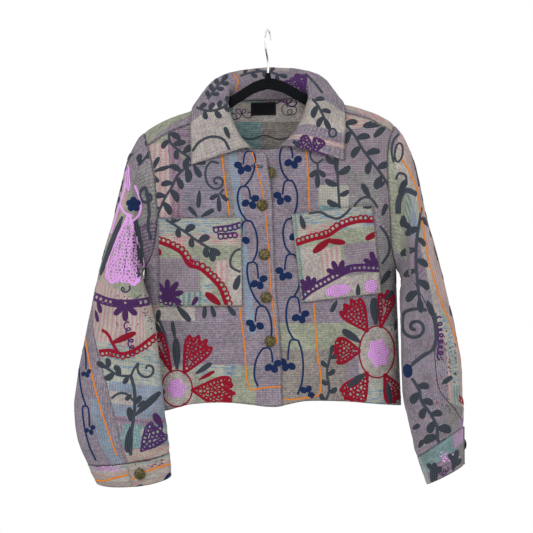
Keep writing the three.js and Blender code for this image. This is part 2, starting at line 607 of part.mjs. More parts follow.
function collar() {
  const half = [1, 0.92, 0.83, 0.74, 0.65, 0.56, 0.5, 0.48, 0.46, 0.44, 0.42, 0.4, 0.36, 0.27, 0.17, 0.08];
  const ss = [...half.map((s) => -s), 0, ...half.slice().reverse()];
  const vs = [0, 0.16, 0.32, 0.46, 0.56, 0.62, 0.667, 0.71, 0.77, 0.88, 1];
  const pairs = ss.map((s) => vs.map((v) => [s, v]));
  const fix = (p, r, c, outer) => (c === 0 && outer ? p.setZ(outer.z) : p);
  return clothWall(collarPoint, pairs, COLLAR_CLOTH, 1, { du: 0.003, dv: 0.005, fix });
}

// A pocket, lying on its front and open at the top.
function pocket({ x, z, width, height, lean }, side) {
  const [c, s] = [Math.cos(radians(lean)), Math.sin(radians(lean))];
  const place = (u, v) => {
    const [px, pz] = [x + u * c - v * s, z + u * s + v * c];
    const p = frontPoint(px, pz, side === RIGHT);
    const mouth = POCKET_MOUTH * Math.exp(-((v - height / 2) ** 2) / 900) * (1 - (2 * u / width) ** 2);
    p.y -= CLOTH + LAP_GAP + POCKET_SPARE + mouth;
    return p;
  };
  const pairs = steps(9, (v) => steps(9, (u) => [(u - 0.5) * width, (0.5 - v) * height]));
  return clothWall(place, pairs, CLOTH, 1);
}

// Turns a shape that was made along +Z so that it stands on a surface point along its normal.
function standing(geometry, point, normal, roll = 0) {
  geometry.rotateZ(roll);
  geometry.applyQuaternion(new THREE.Quaternion().setFromUnitVectors(at3(0, 0, 1), normal));
  return geometry.translate(point.x, point.y, point.z);
}

// A domed button, with its back at height 0 and its post below that.
function button(post) {
  const { cap, dome, rim } = BUTTON;
  const below = [[0, -post], [2.4, -post], [2.4, 0], [cap - 1, 0], [cap, 0.7], [cap, rim]];
  const above = [[cap - 0.9, rim + 0.7], [cap * 0.62, dome * 0.8], [cap * 0.3, dome * 0.96], [0, dome]];
  const profile = [...below, ...above];
  const points = profile.map(([x, y]) => new THREE.Vector2(x, y));
  return new THREE.LatheGeometry(points, 12).rotateX(Math.PI / 2);
}

// The boolean step, for the buttonholes and the hanger's nub.
function asManifold(geometry) {
  const plain = geometry.clone();
  Object.keys(plain.attributes).forEach((key) => key !== "position" && plain.deleteAttribute(key));
  const whole = mergeVertices(plain, 1e-4);
  const vertProperties = new Float32Array(whole.attributes.position.array);
  const triVerts = new Uint32Array(whole.index.array);
  return new wasm.Manifold(new wasm.Mesh({ numProp: 3, vertProperties, triVerts }));
}
function asGeometry(solid) {
  const { vertProperties, triVerts } = solid.getMesh();
  const geometry = new THREE.BufferGeometry();
  geometry.setAttribute("position", new THREE.Float32BufferAttribute(vertProperties, 3));
  geometry.setIndex([...triVerts]);
  return geometry;
}

const placeRight = (x, z) => frontPoint(x, z, true);
const placeLeft = (x, z) => frontPoint(x, z, false);
const buttonX = (z) => frontEdge(RIGHT, z) - BUTTON_FROM_EDGE;

function buttonholes() {
  return BUTTON_HEIGHTS.map((z, i) => {
    const width = i === 0 ? 1.6 : BUTTONHOLE.width;
    const x = buttonX(z) - (i === 0 ? 0 : 2);
    const box = new THREE.BoxGeometry(BUTTONHOLE.length, 60, width).translate(x, -46, z);
    return asManifold(box);
  });
}
function frontRight() {
  return asGeometry(asManifold(frontPanel(RIGHT)).subtract(wasm.Manifold.union(buttonholes())));
}
function frontButton(z, i) {
  const undone = i === 0;
  const x = undone ? frontEdge(RIGHT, z) + 2 : buttonX(z);
  const place = undone ? placeLeft : placeRight;
  const normal = normalOf(place, x, z, 0.05, 0.05, 1);
  const post = undone ? BUTTON.post - 0.5 : CLOTH + LAP_GAP * 2 - 0.4;
  const point = place(x, z).addScaledVector(normal, undone ? BUTTON.post : LAP_GAP);
  return standing(button(post), point, normal);
}
function cuffButton(side) {
  const place = (t, w) => cuffPoint(side, t, w);
  const normal = normalOf(place, 10.5, side.cuffButton, 0.002, 0.2, -side.sign * side.cuffTurn);
  const point = place(10.5, side.cuffButton).addScaledVector(normal, 1.2);
  return standing(button(0.8), point, normal);
}

// The bare label, on the back's inner face.
function label() {
  const place = (x, down) => {
    const normal = normalOf(backPoint, x, down, 0.05, 0.05, 1);
    return backPoint(x, down).addScaledVector(normal, -CLOTH - LAP_GAP * 0.9);
  };
  const { x, top, width, height } = LABEL;
  const pairs = steps(4, (v) => steps(6, (u) => [x + (u - 0.5) * width, top + v * height]));
  return clothWall(place, pairs, LABEL.thick);
}

// The hanger's arms, from end to end, with a rounded section.
function hangerArms() {
  const half = [2, 12, 25, 40, 60, 80, 100, 120, 145, 170, 188, 199, 206, 211, HANGER_END];
  const xs = [...half.map((x) => -x).reverse(), ...half];
  const ring = (x) => {
    const tall = between(HANGER_TOP, "x", "height", Math.abs(x)) / 2;
    const end = Math.sqrt(Math.max(1 - (Math.max(Math.abs(x) - HANGER_END + 7, 0) / 7.2) ** 2, 0.02));
    const deep = (HANGER_DEPTH / 2) * end;
    const middle = hangerTop(x) - tall;
    return steps(HANGER_SIDES, (u) => {
      const a = 2 * Math.PI * u;
      const [c, s] = [Math.cos(a), Math.sin(a)];
      const y = deep * Math.sign(c) * Math.abs(c) ** 0.6;
      return at3(x, y, middle + tall * end * Math.sign(s) * Math.abs(s) ** 0.4);
    });
  };
  const rings = xs.map(ring);
  const geometry = new THREE.BufferGeometry();
  const places = rings.flatMap((r) => r.slice(0, HANGER_SIDES)).flatMap((p) => [p.x, p.y, p.z]);
  const faces = [];
  for (let i = 0; i + 1 < xs.length; i++)
    for (let k = 0; k < HANGER_SIDES; k++) {
      const [a, b] = [i * HANGER_SIDES + k, i * HANGER_SIDES + ((k + 1) % HANGER_SIDES)];
      faces.push(a, b + HANGER_SIDES, b, a, a + HANGER_SIDES, b + HANGER_SIDES);
    }
  for (let k = 1; k < HANGER_SIDES - 1; k++) {
    faces.push(0, k, k + 1);
    const e = (xs.length - 1) * HANGER_SIDES;
    faces.push(e, e + k + 1, e + k);
  }
  geometry.setAttribute("position", new THREE.Float32BufferAttribute(places, 3));
  geometry.setIndex(faces);
  outsideOut(geometry);
  const nub = new THREE.CylinderGeometry(4.2, 5.6, 14, 20).rotateX(Math.PI / 2).translate(0, 0, NUB_TOP - 7);
  return asGeometry(asManifold(geometry).add(asManifold(nub)));
}

// The hook: a straight stem, then most of a circle, seen nearly edge-on.
function hangerHook() {
  const middle = HOOK_WIRE / 2 - HOOK_RADIUS;
  const plane = at3(-Math.sin(radians(HOOK_TURN)), -Math.cos(radians(HOOK_TURN)), 0);
  const onCircle = (a) => {
    const p = plane.clone().multiplyScalar(HOOK_RADIUS * Math.sin(radians(a)));
    return p.setZ(middle + HOOK_RADIUS * Math.cos(radians(a)));
  };
  const path = [at3(0, 0, NUB_TOP + SEAM_GAP), at3(0, 0, -62), at3(0, 0, -53)];
  for (let a = 140; a >= -HOOK_PAST_TOP; a -= 21.5) path.push(onCircle(a));
  const curve = new THREE.CatmullRomCurve3(path);
  const sides = 8;
  const rings = 34;
  const frames = curve.computeFrenetFrames(rings, false);
  const places = [];
  const faces = [];
  for (let i = 0; i <= rings; i++) {
    const p = curve.getPointAt(i / rings);
    for (let k = 0; k < sides; k++) {
      const a = (2 * Math.PI * k) / sides;
      const q = p.clone().addScaledVector(frames.normals[i], (Math.cos(a) * HOOK_WIRE) / 2);
      q.addScaledVector(frames.binormals[i], (Math.sin(a) * HOOK_WIRE) / 2);
      places.push(q.x, q.y, q.z);
    }
  }
  for (let i = 0; i < rings; i++)
    for (let k = 0; k < sides; k++) {
      const [a, b] = [i * sides + k, i * sides + ((k + 1) % sides)];
      faces.push(a, b, b + sides, a, b + sides, a + sides);
    }
  for (let k = 1; k < sides - 1; k++) {
    faces.push(0, k + 1, k);
    const e = rings * sides;
    faces.push(e, e + k, e + k + 1);
  }
  const geometry = new THREE.BufferGeometry();
  geometry.setAttribute("position", new THREE.Float32BufferAttribute(places, 3));
  geometry.setIndex(faces);
  return outsideOut(geometry);
}

for (const side of [RIGHT, LEFT]) {
  const last = side.sleeve[side.sleeve.length - 1];
  side.rings = [...side.sleeve, { ...last, ...side.cuffEnd }].map((row, t) => ({ t, ...row }));
  side.folds = SLEEVE_FOLDS[side.name];
}

const jacket = new THREE.Group();
function add(name, geometry, colour, roughness = 0.9, metalness = 0) {
  const material = new THREE.MeshStandardMaterial({ color: colour, roughness, metalness });
  const mesh = new THREE.Mesh(geometry, material);
  mesh.name = name;
  jacket.add(mesh);
}
add("hanger_arms", hangerArms(), COLOUR.velvet, 1);
add("hanger_hook", hangerHook(), COLOUR.wire, 0.25, 1);
add("front_right", frontRight(), COLOUR.cloth);
add("front_left", frontPanel(LEFT), COLOUR.cloth);
add("back", backPanel(), COLOUR.cloth);
add("collar", collar(), COLOUR.patch);
for (const side of [RIGHT, LEFT]) {
  const patch = POCKETS.find((p) => p.name === `pocket_${side.name}`);
  add(patch.name, pocket(patch, side), COLOUR.patch);
  add(`sleeve_${side.name}_upper`, sleevePiece(side, "seamA", "seamB", 0, 20), COLOUR.cloth);
  add(`sleeve_${side.name}_under`, sleevePiece(side, "seamB", "seamA", 360, 10), COLOUR.patch);
  add(`cuff_${side.name}`, cuff(side), COLOUR.patch);
  add(`button_cuff_${side.name}`, cuffButton(side), COLOUR.brass, 0.4, 1);
}
BUTTON_HEIGHTS.forEach((z, i) => add(`button_front_${i + 1}`, frontButton(z, i), COLOUR.brass, 0.4, 1));
add("neck_label", label(), COLOUR.label);

export default jacket;
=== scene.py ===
# A cropped kantha jacket on a slim flocked hanger.
# The frame is in metres: X to the viewer's right, Y away from the viewer, Z up, with the origin inside
# the top of the hook. "Right" and "left" are the wearer's. Shapes are worked out in millimetres.

import math
from functools import partial

import bpy
import numpy as np
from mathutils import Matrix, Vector
from mathutils.bvhtree import BVHTree


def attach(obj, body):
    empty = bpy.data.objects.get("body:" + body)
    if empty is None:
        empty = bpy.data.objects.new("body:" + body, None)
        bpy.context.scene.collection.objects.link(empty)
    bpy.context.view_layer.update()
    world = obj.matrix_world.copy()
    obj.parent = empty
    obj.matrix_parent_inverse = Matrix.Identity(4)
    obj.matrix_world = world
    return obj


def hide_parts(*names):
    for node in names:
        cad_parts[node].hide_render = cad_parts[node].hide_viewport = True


bl_info = {
    "name": "Kantha Jacket",
    "version": (1, 0, 0),
    "blender": (4, 2, 0),
    "location": "View3D > Sidebar > Jacket",
    "description": "Builds an embroidered patchwork jacket on its hanger, in its CAD frame",
    "category": "Object",
}

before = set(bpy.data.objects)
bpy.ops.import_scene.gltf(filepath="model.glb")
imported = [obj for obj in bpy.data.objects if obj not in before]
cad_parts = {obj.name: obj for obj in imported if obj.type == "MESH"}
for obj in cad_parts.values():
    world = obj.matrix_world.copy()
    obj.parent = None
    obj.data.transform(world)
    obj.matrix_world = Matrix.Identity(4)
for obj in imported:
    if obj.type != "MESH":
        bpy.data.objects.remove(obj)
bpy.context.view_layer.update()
MM = 0.001
MM_PER_PIXEL = 1.68

# Sizes shared with the solids, in millimetres.
CLOTH = 2.2
COLLAR_CLOTH = 2.8
CUFF_CLOTH = 2.6
SEAM_GAP = 0.3
LAP_GAP = 1.0
BODY_CENTRE_X = 4.0
SIDE_HALF_WIDTH = 211.0
HEM_FLARE = 9.0
SHOULDER_SPREAD = 3.3
NECK_HALF_WIDTH = 72.0
NECK_BACK_BULGE = 27.0
FRONT_LAP = 34.0
UNDERARM = -400.0
BACK_NECK_DROP = 13.0
CLOTH_ON_HANGER = CLOTH + 2.4
HANGER_TILT = 0.041
HANGER_END = 213.0
BUTTON_HEIGHTS = (-240.0, -294.0, -376.0, -447.0, -519.0)
BUTTON_LIFT = 7.5
POCKET_MOUTH = 2.0
POCKET_SPARE = 0.9
COLLAR_TILT = 0.03


def rows_of(names, *lines):
    """A short table, as its columns by name."""
    return {name: np.array([line[i] for line in lines], float) for i, name in enumerate(names.split())}


HANGER_TOP = rows_of(
    "x z height",
    (0, -78, 20), (25, -85, 20), (60, -106, 20), (90, -119.5, 20), (120, -130.5, 19), (170, -146.5, 17),
    (195, -159, 14), (206, -166.5, 11), (213, -174, 8),
)
FRONT_EDGE = rows_of(
    "z x", (-205, -5), (-269, 5.7), (-338, 9.2), (-435, 13.4), (-522, 20.8), (-627, 23.5)
)
HEM = rows_of(
    "x z",
    (-220, -641), (-170, -635), (-130, -624), (-75, -620), (-25, -624), (15, -627), (55, -618),
    (110, -618), (170, -623), (232, -629),
)
COLLAR = rows_of(
    "s roll_x roll_y roll_z edge_x edge_z edge_y",
    (0, -35, -44, -197, -128, -222, -30), (0.18, -56, -45, -168, -129, -188, -30),
    (0.36, -76, -36, -128, -130, -155, -22), (0.52, -95, -8, -95, -127, -123, -2),
    (0.68, -86, 30, -74, -116, -122, 38), (0.84, -50, 52, -61, -70, -130, 66),
    (1, 0, 60, -56, 0, -134, 76),
)
LABEL = {"x": -8.0, "top": 15.0, "width": 44.0, "height": 22.0, "thick": 0.8}

RING_COLUMNS = "t ox oy oz ix iy iz deep sag seam_a seam_b"
# Folds: on the body from (x0, z0) to (x1, z1), on a sleeve from (angle, ring) to (angle, ring).
# The first rows of each are the solids' own, and the rest are the smaller creases between them.
FOLD_COLUMNS = "x0 z0 x1 z1 width depth"
FRONT_FOLDS = rows_of(
    FOLD_COLUMNS,
    (-175, -330, -160, -640, 20, -7), (-112, -430, -98, -650, 24, 6), (-52, -480, -40, -650, 20, -5),
    (62, -470, 70, -650, 22, 6), (128, -440, 140, -650, 24, -7), (184, -215, 190, -390, 13, 3.5),
    (-168, -200, -160, -300, 15, 4), (-186, -392, -120, -455, 8, 1.6),
    (-190, -414, -138, -520, 7, -1.5), (202, -396, 150, -470, 8, 1.7), (208, -420, 168, -540, 7, -1.5),
    (-140, -190, -60, -330, 9, -1.2), (-176, -215, -110, -300, 7, 1.2), (150, -180, 60, -300, 9, -1.2),
    (186, -240, 120, -300, 7, 1.1), (-80, -560, -70, -650, 8, 1.4), (-20, -545, -14, -650, 7, -1.2),
    (100, -540, 96, -650, 8, 1.3), (176, -520, 184, -650, 8, 1.5), (-140, -540, -146, -650, 8, -1.3),
    (30, -260, 44, -420, 9, 1.0), (40, -470, 30, -600, 7, -0.9),
)
BACK_FOLDS = rows_of(
    FOLD_COLUMNS,
    (-150, -260, -128, -650, 26, 8), (-66, -300, -60, -650, 26, -8), (10, -330, 14, -650, 24, 8),
    (82, -300, 76, -650, 26, -8), (158, -260, 142, -650, 26, 8), (-186, -398, -90, -470, 9, 1.8),
    (-190, -425, -120, -560, 8, -1.6), (200, -398, 96, -468, 9, 1.8), (206, -430, 128, -566, 8, -1.6),
    (-176, -210, -60, -330, 10, -1.4), (180, -205, 60, -340, 10, -1.3),
    (-110, -520, -100, -650, 9, 1.4), (-24, -500, -30, -650, 9, -1.2), (48, -540, 52, -650, 8, 1.2),
    (116, -510, 108, -650, 9, -1.3),
)


class Side:
    """One side of the jacket, with the tables of its armhole and sleeve."""

    def __init__(self, name, sign, yoke, yoke_angle, collar_end, armhole, cuff, rings, folds):
        self.name = name
        self.sign = sign
        self.yoke = yoke
        self.yoke_angle = yoke_angle
        self.collar_end = collar_end
        self.armhole = rows_of("z x", *armhole)
        self.cuff_lap, self.cuff_turn, self.cuff_gap = cuff
        self.rings = rows_of(RING_COLUMNS, *[(t, *ring) for t, ring in enumerate(rings)])
        self.folds = rows_of(FOLD_COLUMNS, *folds)


RIGHT = Side(
    "right",
    -1,
    22,
    36,
    (-30, -203),
    [(-176, -207), (-200, -199), (-247, -190), (-316, -185), (-370, -192), (-400, -207)],
    (90, 1, 0.015),
    [
        (-207, 0, -176, -207, 0, -400, 46, 0, -60, 180),
        (-231, -2, -205, -209, -6, -407, 38, 0, -56, 180),
        (-244, -5, -252, -208, -18, -414, 41, 0, -50, 181),
        (-260, -8, -318, -206, -32, -425, 41, 0, -40, 182),
        (-277, -10, -380, -198, -46, -446, 37, 0, -20, 184),
        (-292, -12, -446, -188, -57, -482, 33, 0, 10, 186),
        (-306, -14, -512, -181, -63, -533, 31, 0, 44, 188),
        (-317, -16, -572, -175, -64, -590, 30, 2, 70, 190),
        (-324, -18, -627, -170, -64, -640, 30, 4, 84, 192),
        (-318, -22, -683, -165, -62, -678, 27, 6, 89, 194),
        (-301, -26, -724, -163, -60, -702, 23, 8, 90, 195),
        (-286, -28, -755, -160, -60, -741, 21, 12, 90, 195),
    ],
    [
        (128, 0.9, 118, 4.2, 16, -8), (150, 2.4, 92, 5.8, 16, 6), (168, 4.6, 118, 7.0, 15, -5),
        (40, 7.2, 58, 9.6, 14, -5), (120, 7.6, 128, 9.7, 13, 4), (232, 1.2, 250, 4.6, 17, -8),
        (212, 4.2, 268, 7.2, 16, 6), (300, 6.8, 290, 9.6, 16, -5), (84, 0.6, 100, 3.0, 8, 1.8),
        (30, 0.5, 60, 2.6, 9, -1.6), (96, 3.4, 140, 5.2, 8, -2.0), (60, 4.6, 110, 6.3, 7, 1.8),
        (40, 5.6, 96, 7.4, 7, -1.6), (70, 7.8, 84, 9.9, 6, 2.0), (98, 8.4, 104, 9.9, 6, -2.0),
        (22, 8.3, 30, 9.9, 6, 1.8), (140, 8.5, 148, 9.9, 6, -1.8), (165, 8.2, 170, 9.9, 6, 1.8),
        (210, 8.4, 214, 9.9, 6, -1.8), (250, 8.1, 246, 9.9, 7, 2.0), (276, 1.8, 300, 3.8, 8, 1.6),
        (262, 8.5, 268, 9.9, 6, -1.6), (-30, 8.4, -24, 9.9, 7, -1.7),
    ],
)
LEFT = Side(
    "left",
    1,
    14,
    24,
    (21, -198),
    [(-160, 212), (-185, 203), (-215, 200), (-255, 201), (-320, 205), (-370, 208), (-398, 215)],
    (-8, -1, 0.006),
    [
        (212, 0, -160, 215, 0, -398, 46, 0, -60, 180),
        (237, -2, -198, 221, -8, -411, 42, 0, -57, 180),
        (250, -6, -240, 222, -20, -419, 45, 0, -55, 180),
        (262, -10, -300, 221, -30, -430, 48, 0, -52, 180),
        (279, -15, -365, 219, -36, -447, 53, 0, -48, 180),
        (296, -20, -430, 220, -40, -481, 54, 0, -42, 180),
        (310, -24, -492, 221, -42, -526, 54, 0, -34, 182),
        (321, -27, -552, 222, -44, -572, 54, 0, -24, 184),
        (324, -29, -604, 225, -45, -618, 54, 0, -10, 187),
        (326, -30, -638, 239, -46, -668, 51, -2, 4, 190),
        (325, -31, -662, 248, -46, -711, 49, -4, 14, 192),
        (325, -32, -726, 264, -46, -757, 46, -2, 14, 192),
    ],
    [
        (132, 0.8, 122, 4.4, 15, -8), (96, 1.6, 112, 5.6, 14, 6), (150, 4.8, 96, 7.6, 15, -6),
        (60, 6.8, 96, 9.5, 14, 5), (160, 8.4, 150, 10.1, 15, 6), (236, 1.2, 246, 5.0, 16, -8),
        (262, 4.0, 236, 8.2, 15, 6), (310, 7.0, 292, 9.6, 15, -5), (70, 0.6, 82, 2.8, 8, -1.8),
        (36, 0.5, 56, 2.8, 9, 1.6), (110, 3.2, 150, 5.0, 8, 2.0), (50, 4.4, 100, 6.2, 7, -1.8),
        (38, 5.8, 84, 7.4, 7, 1.6), (76, 7.9, 82, 9.9, 6, -2.0), (112, 8.3, 118, 9.9, 6, 2.0),
        (30, 8.2, 34, 9.9, 6, -1.8), (172, 8.4, 176, 9.9, 6, 1.8), (206, 8.4, 212, 9.9, 6, -1.8),
        (246, 8.2, 250, 9.9, 7, 2.0), (282, 1.8, 300, 3.6, 8, -1.6), (-26, 8.3, -20, 9.9, 7, 1.8),
    ],
)

POCKETS = {
    "pocket_right": {"x": -113.0, "z": -388.0, "width": 139.0, "height": 146.0, "lean": 0.5},
    "pocket_left": {"x": 114.5, "z": -374.0, "width": 135.0, "height": 148.0, "lean": 6.5},
}


# Small helpers on numbers.
def smooth(x):
    """A soft step from 0 to 1."""
    x = np.clip(x, 0.0, 1.0)
    return x * x * (3.0 - 2.0 * x)


def mix(a, b, share):
    """The value that lies that share of the way from a to b."""
    return a + (b - a) * share


def bell(x):
    """A soft hump that is 1 at 0."""
    return np.exp(-(x**2))


def point(x, y, z):
    """Places from their three coordinates, which may be arrays."""
    return np.stack(np.broadcast_arrays(*[np.asarray(c, float) for c in (x, y, z)]), axis=-1)


def unit(vector):
    """Vectors scaled to length 1."""
    length = np.linalg.norm(vector, axis=-1, keepdims=True)
    return vector / np.maximum(length, 1e-9)


def hermite(keys, values, at):
    """A smooth value between the rows of a table, clamped at its ends."""
    last = len(keys) - 1
    rising = 1.0 if keys[-1] > keys[0] else -1.0
    at = np.asarray(at, float)
    i = np.clip(np.searchsorted(rising * keys, rising * at, side="left") - 1, 0, last - 1)
    low = np.maximum(np.arange(last + 1) - 1, 0)
    high = np.minimum(np.arange(last + 1) + 1, last)
    gap = keys[high] - keys[low]
    wide = (slice(None),) + (None,) * (values.ndim - 1)
    slope = (values[high] - values[low]) / gap[wide]
    span = keys[i + 1] - keys[i]
    t = np.clip((at - keys[i]) / span, 0.0, 1.0)
    more = (...,) + (None,) * (values.ndim - 1)
    t, span = t[more], span[more]
    t2, t3 = t * t, t * t * t
    start = (2 * t3 - 3 * t2 + 1) * values[i] + (t3 - 2 * t2 + t) * span * slope[i]
    return start + (3 * t2 - 2 * t3) * values[i + 1] + (t3 - t2) * span * slope[i + 1]


def between(rows, key, column, at):
    """A smooth value of a table's column."""
    return hermite(rows[key], rows[column], at)


def folds_at(folds, x, y, stretch=1.0):
    """How much all the folds of a table move the points (x, y)."""
    total = np.zeros(np.broadcast(x, y).shape)
    for x0, z0, x1, z1, width, depth in zip(*[folds[name] for name in FOLD_COLUMNS.split()]):
        dx, dy = x1 - x0, (z1 - z0) * stretch
        px, py = x - x0, (y - z0) * stretch
        length2 = dx * dx + dy * dy
        along = (px * dx + py * dy) / length2
        across = (px * dy - py * dx) / math.sqrt(length2)
        ends = smooth((along + 0.15) / 0.45) * smooth((1.15 - along) / 0.3)
        total = total + depth * ends * bell(across / width)
    return total


# The body's surfaces, as in the solids.
def hanger_top(x):
    """The hanger's top line."""
    return between(HANGER_TOP, "x", "z", np.minimum(np.abs(x), HANGER_END)) + HANGER_TILT * x


def ridge(x):
    """The height of the shoulder line."""
    x = np.asarray(x, float)
    start = NECK_HALF_WIDTH - 12.0
    level = (hanger_top(start) + hanger_top(-start)) / 2
    lift = 1.3 * bell((np.abs(x) - 67.5) / 6.0)
    side = np.where(x < 0, -1.0, 1.0)
    shoulder = hanger_top(side * np.maximum(np.abs(x), start))
    return CLOTH_ON_HANGER + lift + mix(level, shoulder, smooth(np.abs(x) / start))


def hem_at(x):
    """The height of the hem."""
    return between(HEM, "x", "z", np.clip(x, -220, 232))


def half_width(z):
    """Half the body's width."""
    above = np.clip((z - UNDERARM) / 200.0, 0, 1.3)
    below = np.clip((UNDERARM - z) / 230.0, 0, 1)
    return SIDE_HALF_WIDTH + 75.0 * above**0.6 + HEM_FLARE * below


def stand(x, z):
    """How far the body stands off the plane of the shoulder line."""
    down = np.maximum(ridge(x) - z, 0)
    across = np.minimum(np.abs(x - BODY_CENTRE_X) / half_width(z), 1)
    roundness = np.sqrt(1 - across**2)
    return SHOULDER_SPREAD * np.sqrt(down) * (1 - (1 - roundness) * smooth(down / 70.0))


def body_folds(folds, x, z):
    """The body's folds, which fade at its sides."""
    return smooth((half_width(z) - np.abs(x - BODY_CENTRE_X)) / 34.0) * folds_at(folds, x, z)


def front_point(x, z, lapping):
    """The outer face of a front. The right one laps over the left one and its button."""
    x, z = np.asarray(x, float), np.asarray(z, float)
    over = BUTTON_LIFT * bell((z - BUTTON_HEIGHTS[0]) / 42.0)
    lift = (CLOTH + LAP_GAP + over) * smooth((x + 62.0) / 40.0) if lapping else 0.0
    return point(x, -stand(x, z) - body_folds(FRONT_FOLDS, x, z) - lift, z)


def back_point(x, down):
    """The outer face of the back, down from the ridge. It is in front where that is negative."""
    x, down = np.asarray(x, float), np.asarray(down, float)
    z = ridge(x) - np.abs(down)
    neck = np.where(np.abs(x) < 85, np.cos(np.pi * x / 170.0) ** 2, 0.0)
    fade = np.exp(-np.maximum(down - 10, 0) / 170.0) * smooth((down + 2) / 9.0)
    behind = stand(x, z) + NECK_BACK_BULGE * neck * fade + body_folds(BACK_FOLDS, x, z)
    return point(x, np.where(down < 0, -stand(x, z), behind), z)


def neckline(side, t):
    """A front's neckline in x and z, from the shoulder (0) to the collar's end (1)."""
    neck_x = side.sign * NECK_HALF_WIDTH
    neck_z = ridge(neck_x) - side.yoke
    x, z = side.collar_end
    a, b, c = (1 - t) ** 2, 2 * t * (1 - t), t * t
    return a * neck_x + b * neck_x * 0.9 + c * x, a * neck_z + b * (z + 20) + c * z


def front_edge(side, z):
    """The line of a front's free edge."""
    return between(FRONT_EDGE, "z", "x", z) - (FRONT_LAP if side is LEFT else 0.0)


def side_edge(side, z):
    """The side seam of the body."""
    return BODY_CENTRE_X + side.sign * half_width(z)


def arm_edge(side, z):
    """The armhole seam of the body."""
    return between(side.armhole, "z", "x", np.clip(z, UNDERARM, side.armhole["z"][0]))


def arm_height(side, angle):
    """The armhole's height at an angle: 0 is the shoulder, 180 the underarm."""
    return mix(ridge(side.armhole["x"][0]), UNDERARM, (1 - np.cos(np.radians(angle))) / 2)


def yoke_end(side):
    """Where the shoulder seam meets the armhole."""
    z = arm_height(side, side.yoke_angle)
    return arm_edge(side, z), z


def yoke_at(x):
    """How far in front of the ridge the shoulder seam runs."""
    x = np.asarray(x, float)
    reach = []
    for side in (RIGHT, LEFT):
        end_x, end_z = yoke_end(side)
        share = smooth((np.abs(x) - 150) / (abs(end_x) - 150))
        reach.append(mix(side.yoke, ridge(end_x) - end_z, share))
    return np.where(x < 0, *reach)


def back_start(x):
    """Where the back begins, at the shoulder seam or the neck."""
    return mix(-yoke_at(x), BACK_NECK_DROP, smooth((NECK_HALF_WIDTH - np.abs(x)) / 8.0))


def front_pairs(side):
    """The grid of a front in x and z, from the shoulder seam to the hem."""
    top_z = side.collar_end[1] - 3.0
    inner = [neckline(side, t) for t in np.linspace(0, 1, 7)]
    inner.append((mix(side.collar_end[0], front_edge(side, top_z), 0.5), top_z))
    hem_z = hem_at(front_edge(side, -624.0))
    for z in np.linspace(top_z, hem_z, 16):
        inner.append((front_edge(side, z), z))
    last = len(inner) - 1
    arm = (180 - side.yoke_angle) / 12
    ease = np.linspace(0, 1, 14)
    ease = 0.55 * np.sin(ease * np.pi / 2) + 0.45 * ease
    grid = []
    for r, (in_x, in_z) in enumerate(inner):
        if r <= arm:
            out_z = arm_height(side, side.yoke_angle + 12 * r)
            out_x = arm_edge(side, out_z)
        else:
            out_z = mix(UNDERARM, hem_at(side_edge(side, -624.0)), (r - arm) / (last - arm))
            out_x = side_edge(side, out_z)
        x = mix(in_x, out_x, ease)
        z = mix(in_z, out_z, ease)
        if r == last:
            z = hem_at(x)
        if r == 0:
            z = ridge(x) - yoke_at(x) - SEAM_GAP * (3.4 if side is RIGHT else 2)
        grid.append(np.stack([x, z], axis=-1))
    return np.array(grid)


def back_pairs():
    """The grid of the back in x and height below the ridge."""
    angles = np.array([12, 24, 36, 48, 60, 72, 84, 96, 108, 120, 132, 144, 156, 180.0])
    rows = 27

    def arm_drops(side):
        drops = ridge(side.armhole["x"][0]) - arm_height(side, angles)
        second = drops[1] if side is RIGHT else (drops[0] + drops[1]) / 2
        return np.array([-side.yoke, -second, -drops[0], -0.6, 0, 0.6, *drops])

    def heights(x, total):
        tops = arm_drops(RIGHT if x < 0 else LEFT)
        fixed = len(tops) - 1
        start = float(back_start(x))
        made = []
        for r in range(rows + 1):
            if start < -0.5 and r < 4:
                made.append(start * tops[r] / tops[0])
            elif start >= -0.5 and r < 12:
                made.append(mix(start, tops[12], (r / 12) ** 2.2))
            elif r <= fixed:
                made.append(tops[r])
            else:
                made.append(mix(tops[fixed], total, (r - fixed) / (rows - fixed)))
        return made

    def edge(side):
        tops = arm_drops(side)
        fixed = len(tops) - 1
        made = []
        for r in range(rows + 1):
            if r == 0:
                x, z = yoke_end(side)
                made.append((x, z - ridge(x)))
                continue
            z = ridge(side.armhole["x"][0]) - abs(tops[min(r, fixed)])
            x = arm_edge(side, z)
            if r > fixed:
                z = mix(UNDERARM, hem_at(side_edge(side, -624.0)), (r - fixed) / (rows - fixed))
                x = side_edge(side, z)
            made.append((x, (ridge(x) - z) * (-1 if tops[min(r, fixed)] < 0 else 1)))
        return made

    limits = {-1: edge(RIGHT), 1: edge(LEFT)}

    def column(x):
        sign = -1 if x < 0 else 1
        made = []
        for r, down in enumerate(heights(x, float(ridge(x) - hem_at(x)))):
            reach = (abs(limits[sign][r][0]) - 100) / 107
            made.append((x if abs(x) < 100 else sign * (100 + (abs(x) - 100) * reach), down))
        return made

    half = [17, 34, 50, 61, 65.5, 67.6, 69.5, 73, 97, 125, 150, 168, 182, 192, 200]
    columns = [limits[-1], *[column(-x) for x in half[::-1]], column(0.0)]
    columns += [*[column(x) for x in half], limits[1]]
    grid = np.swapaxes(np.array(columns, float), 0, 1)
    grid[-1, :, 1] = ridge(grid[-1, :, 0]) - hem_at(grid[-1, :, 0])
    return grid


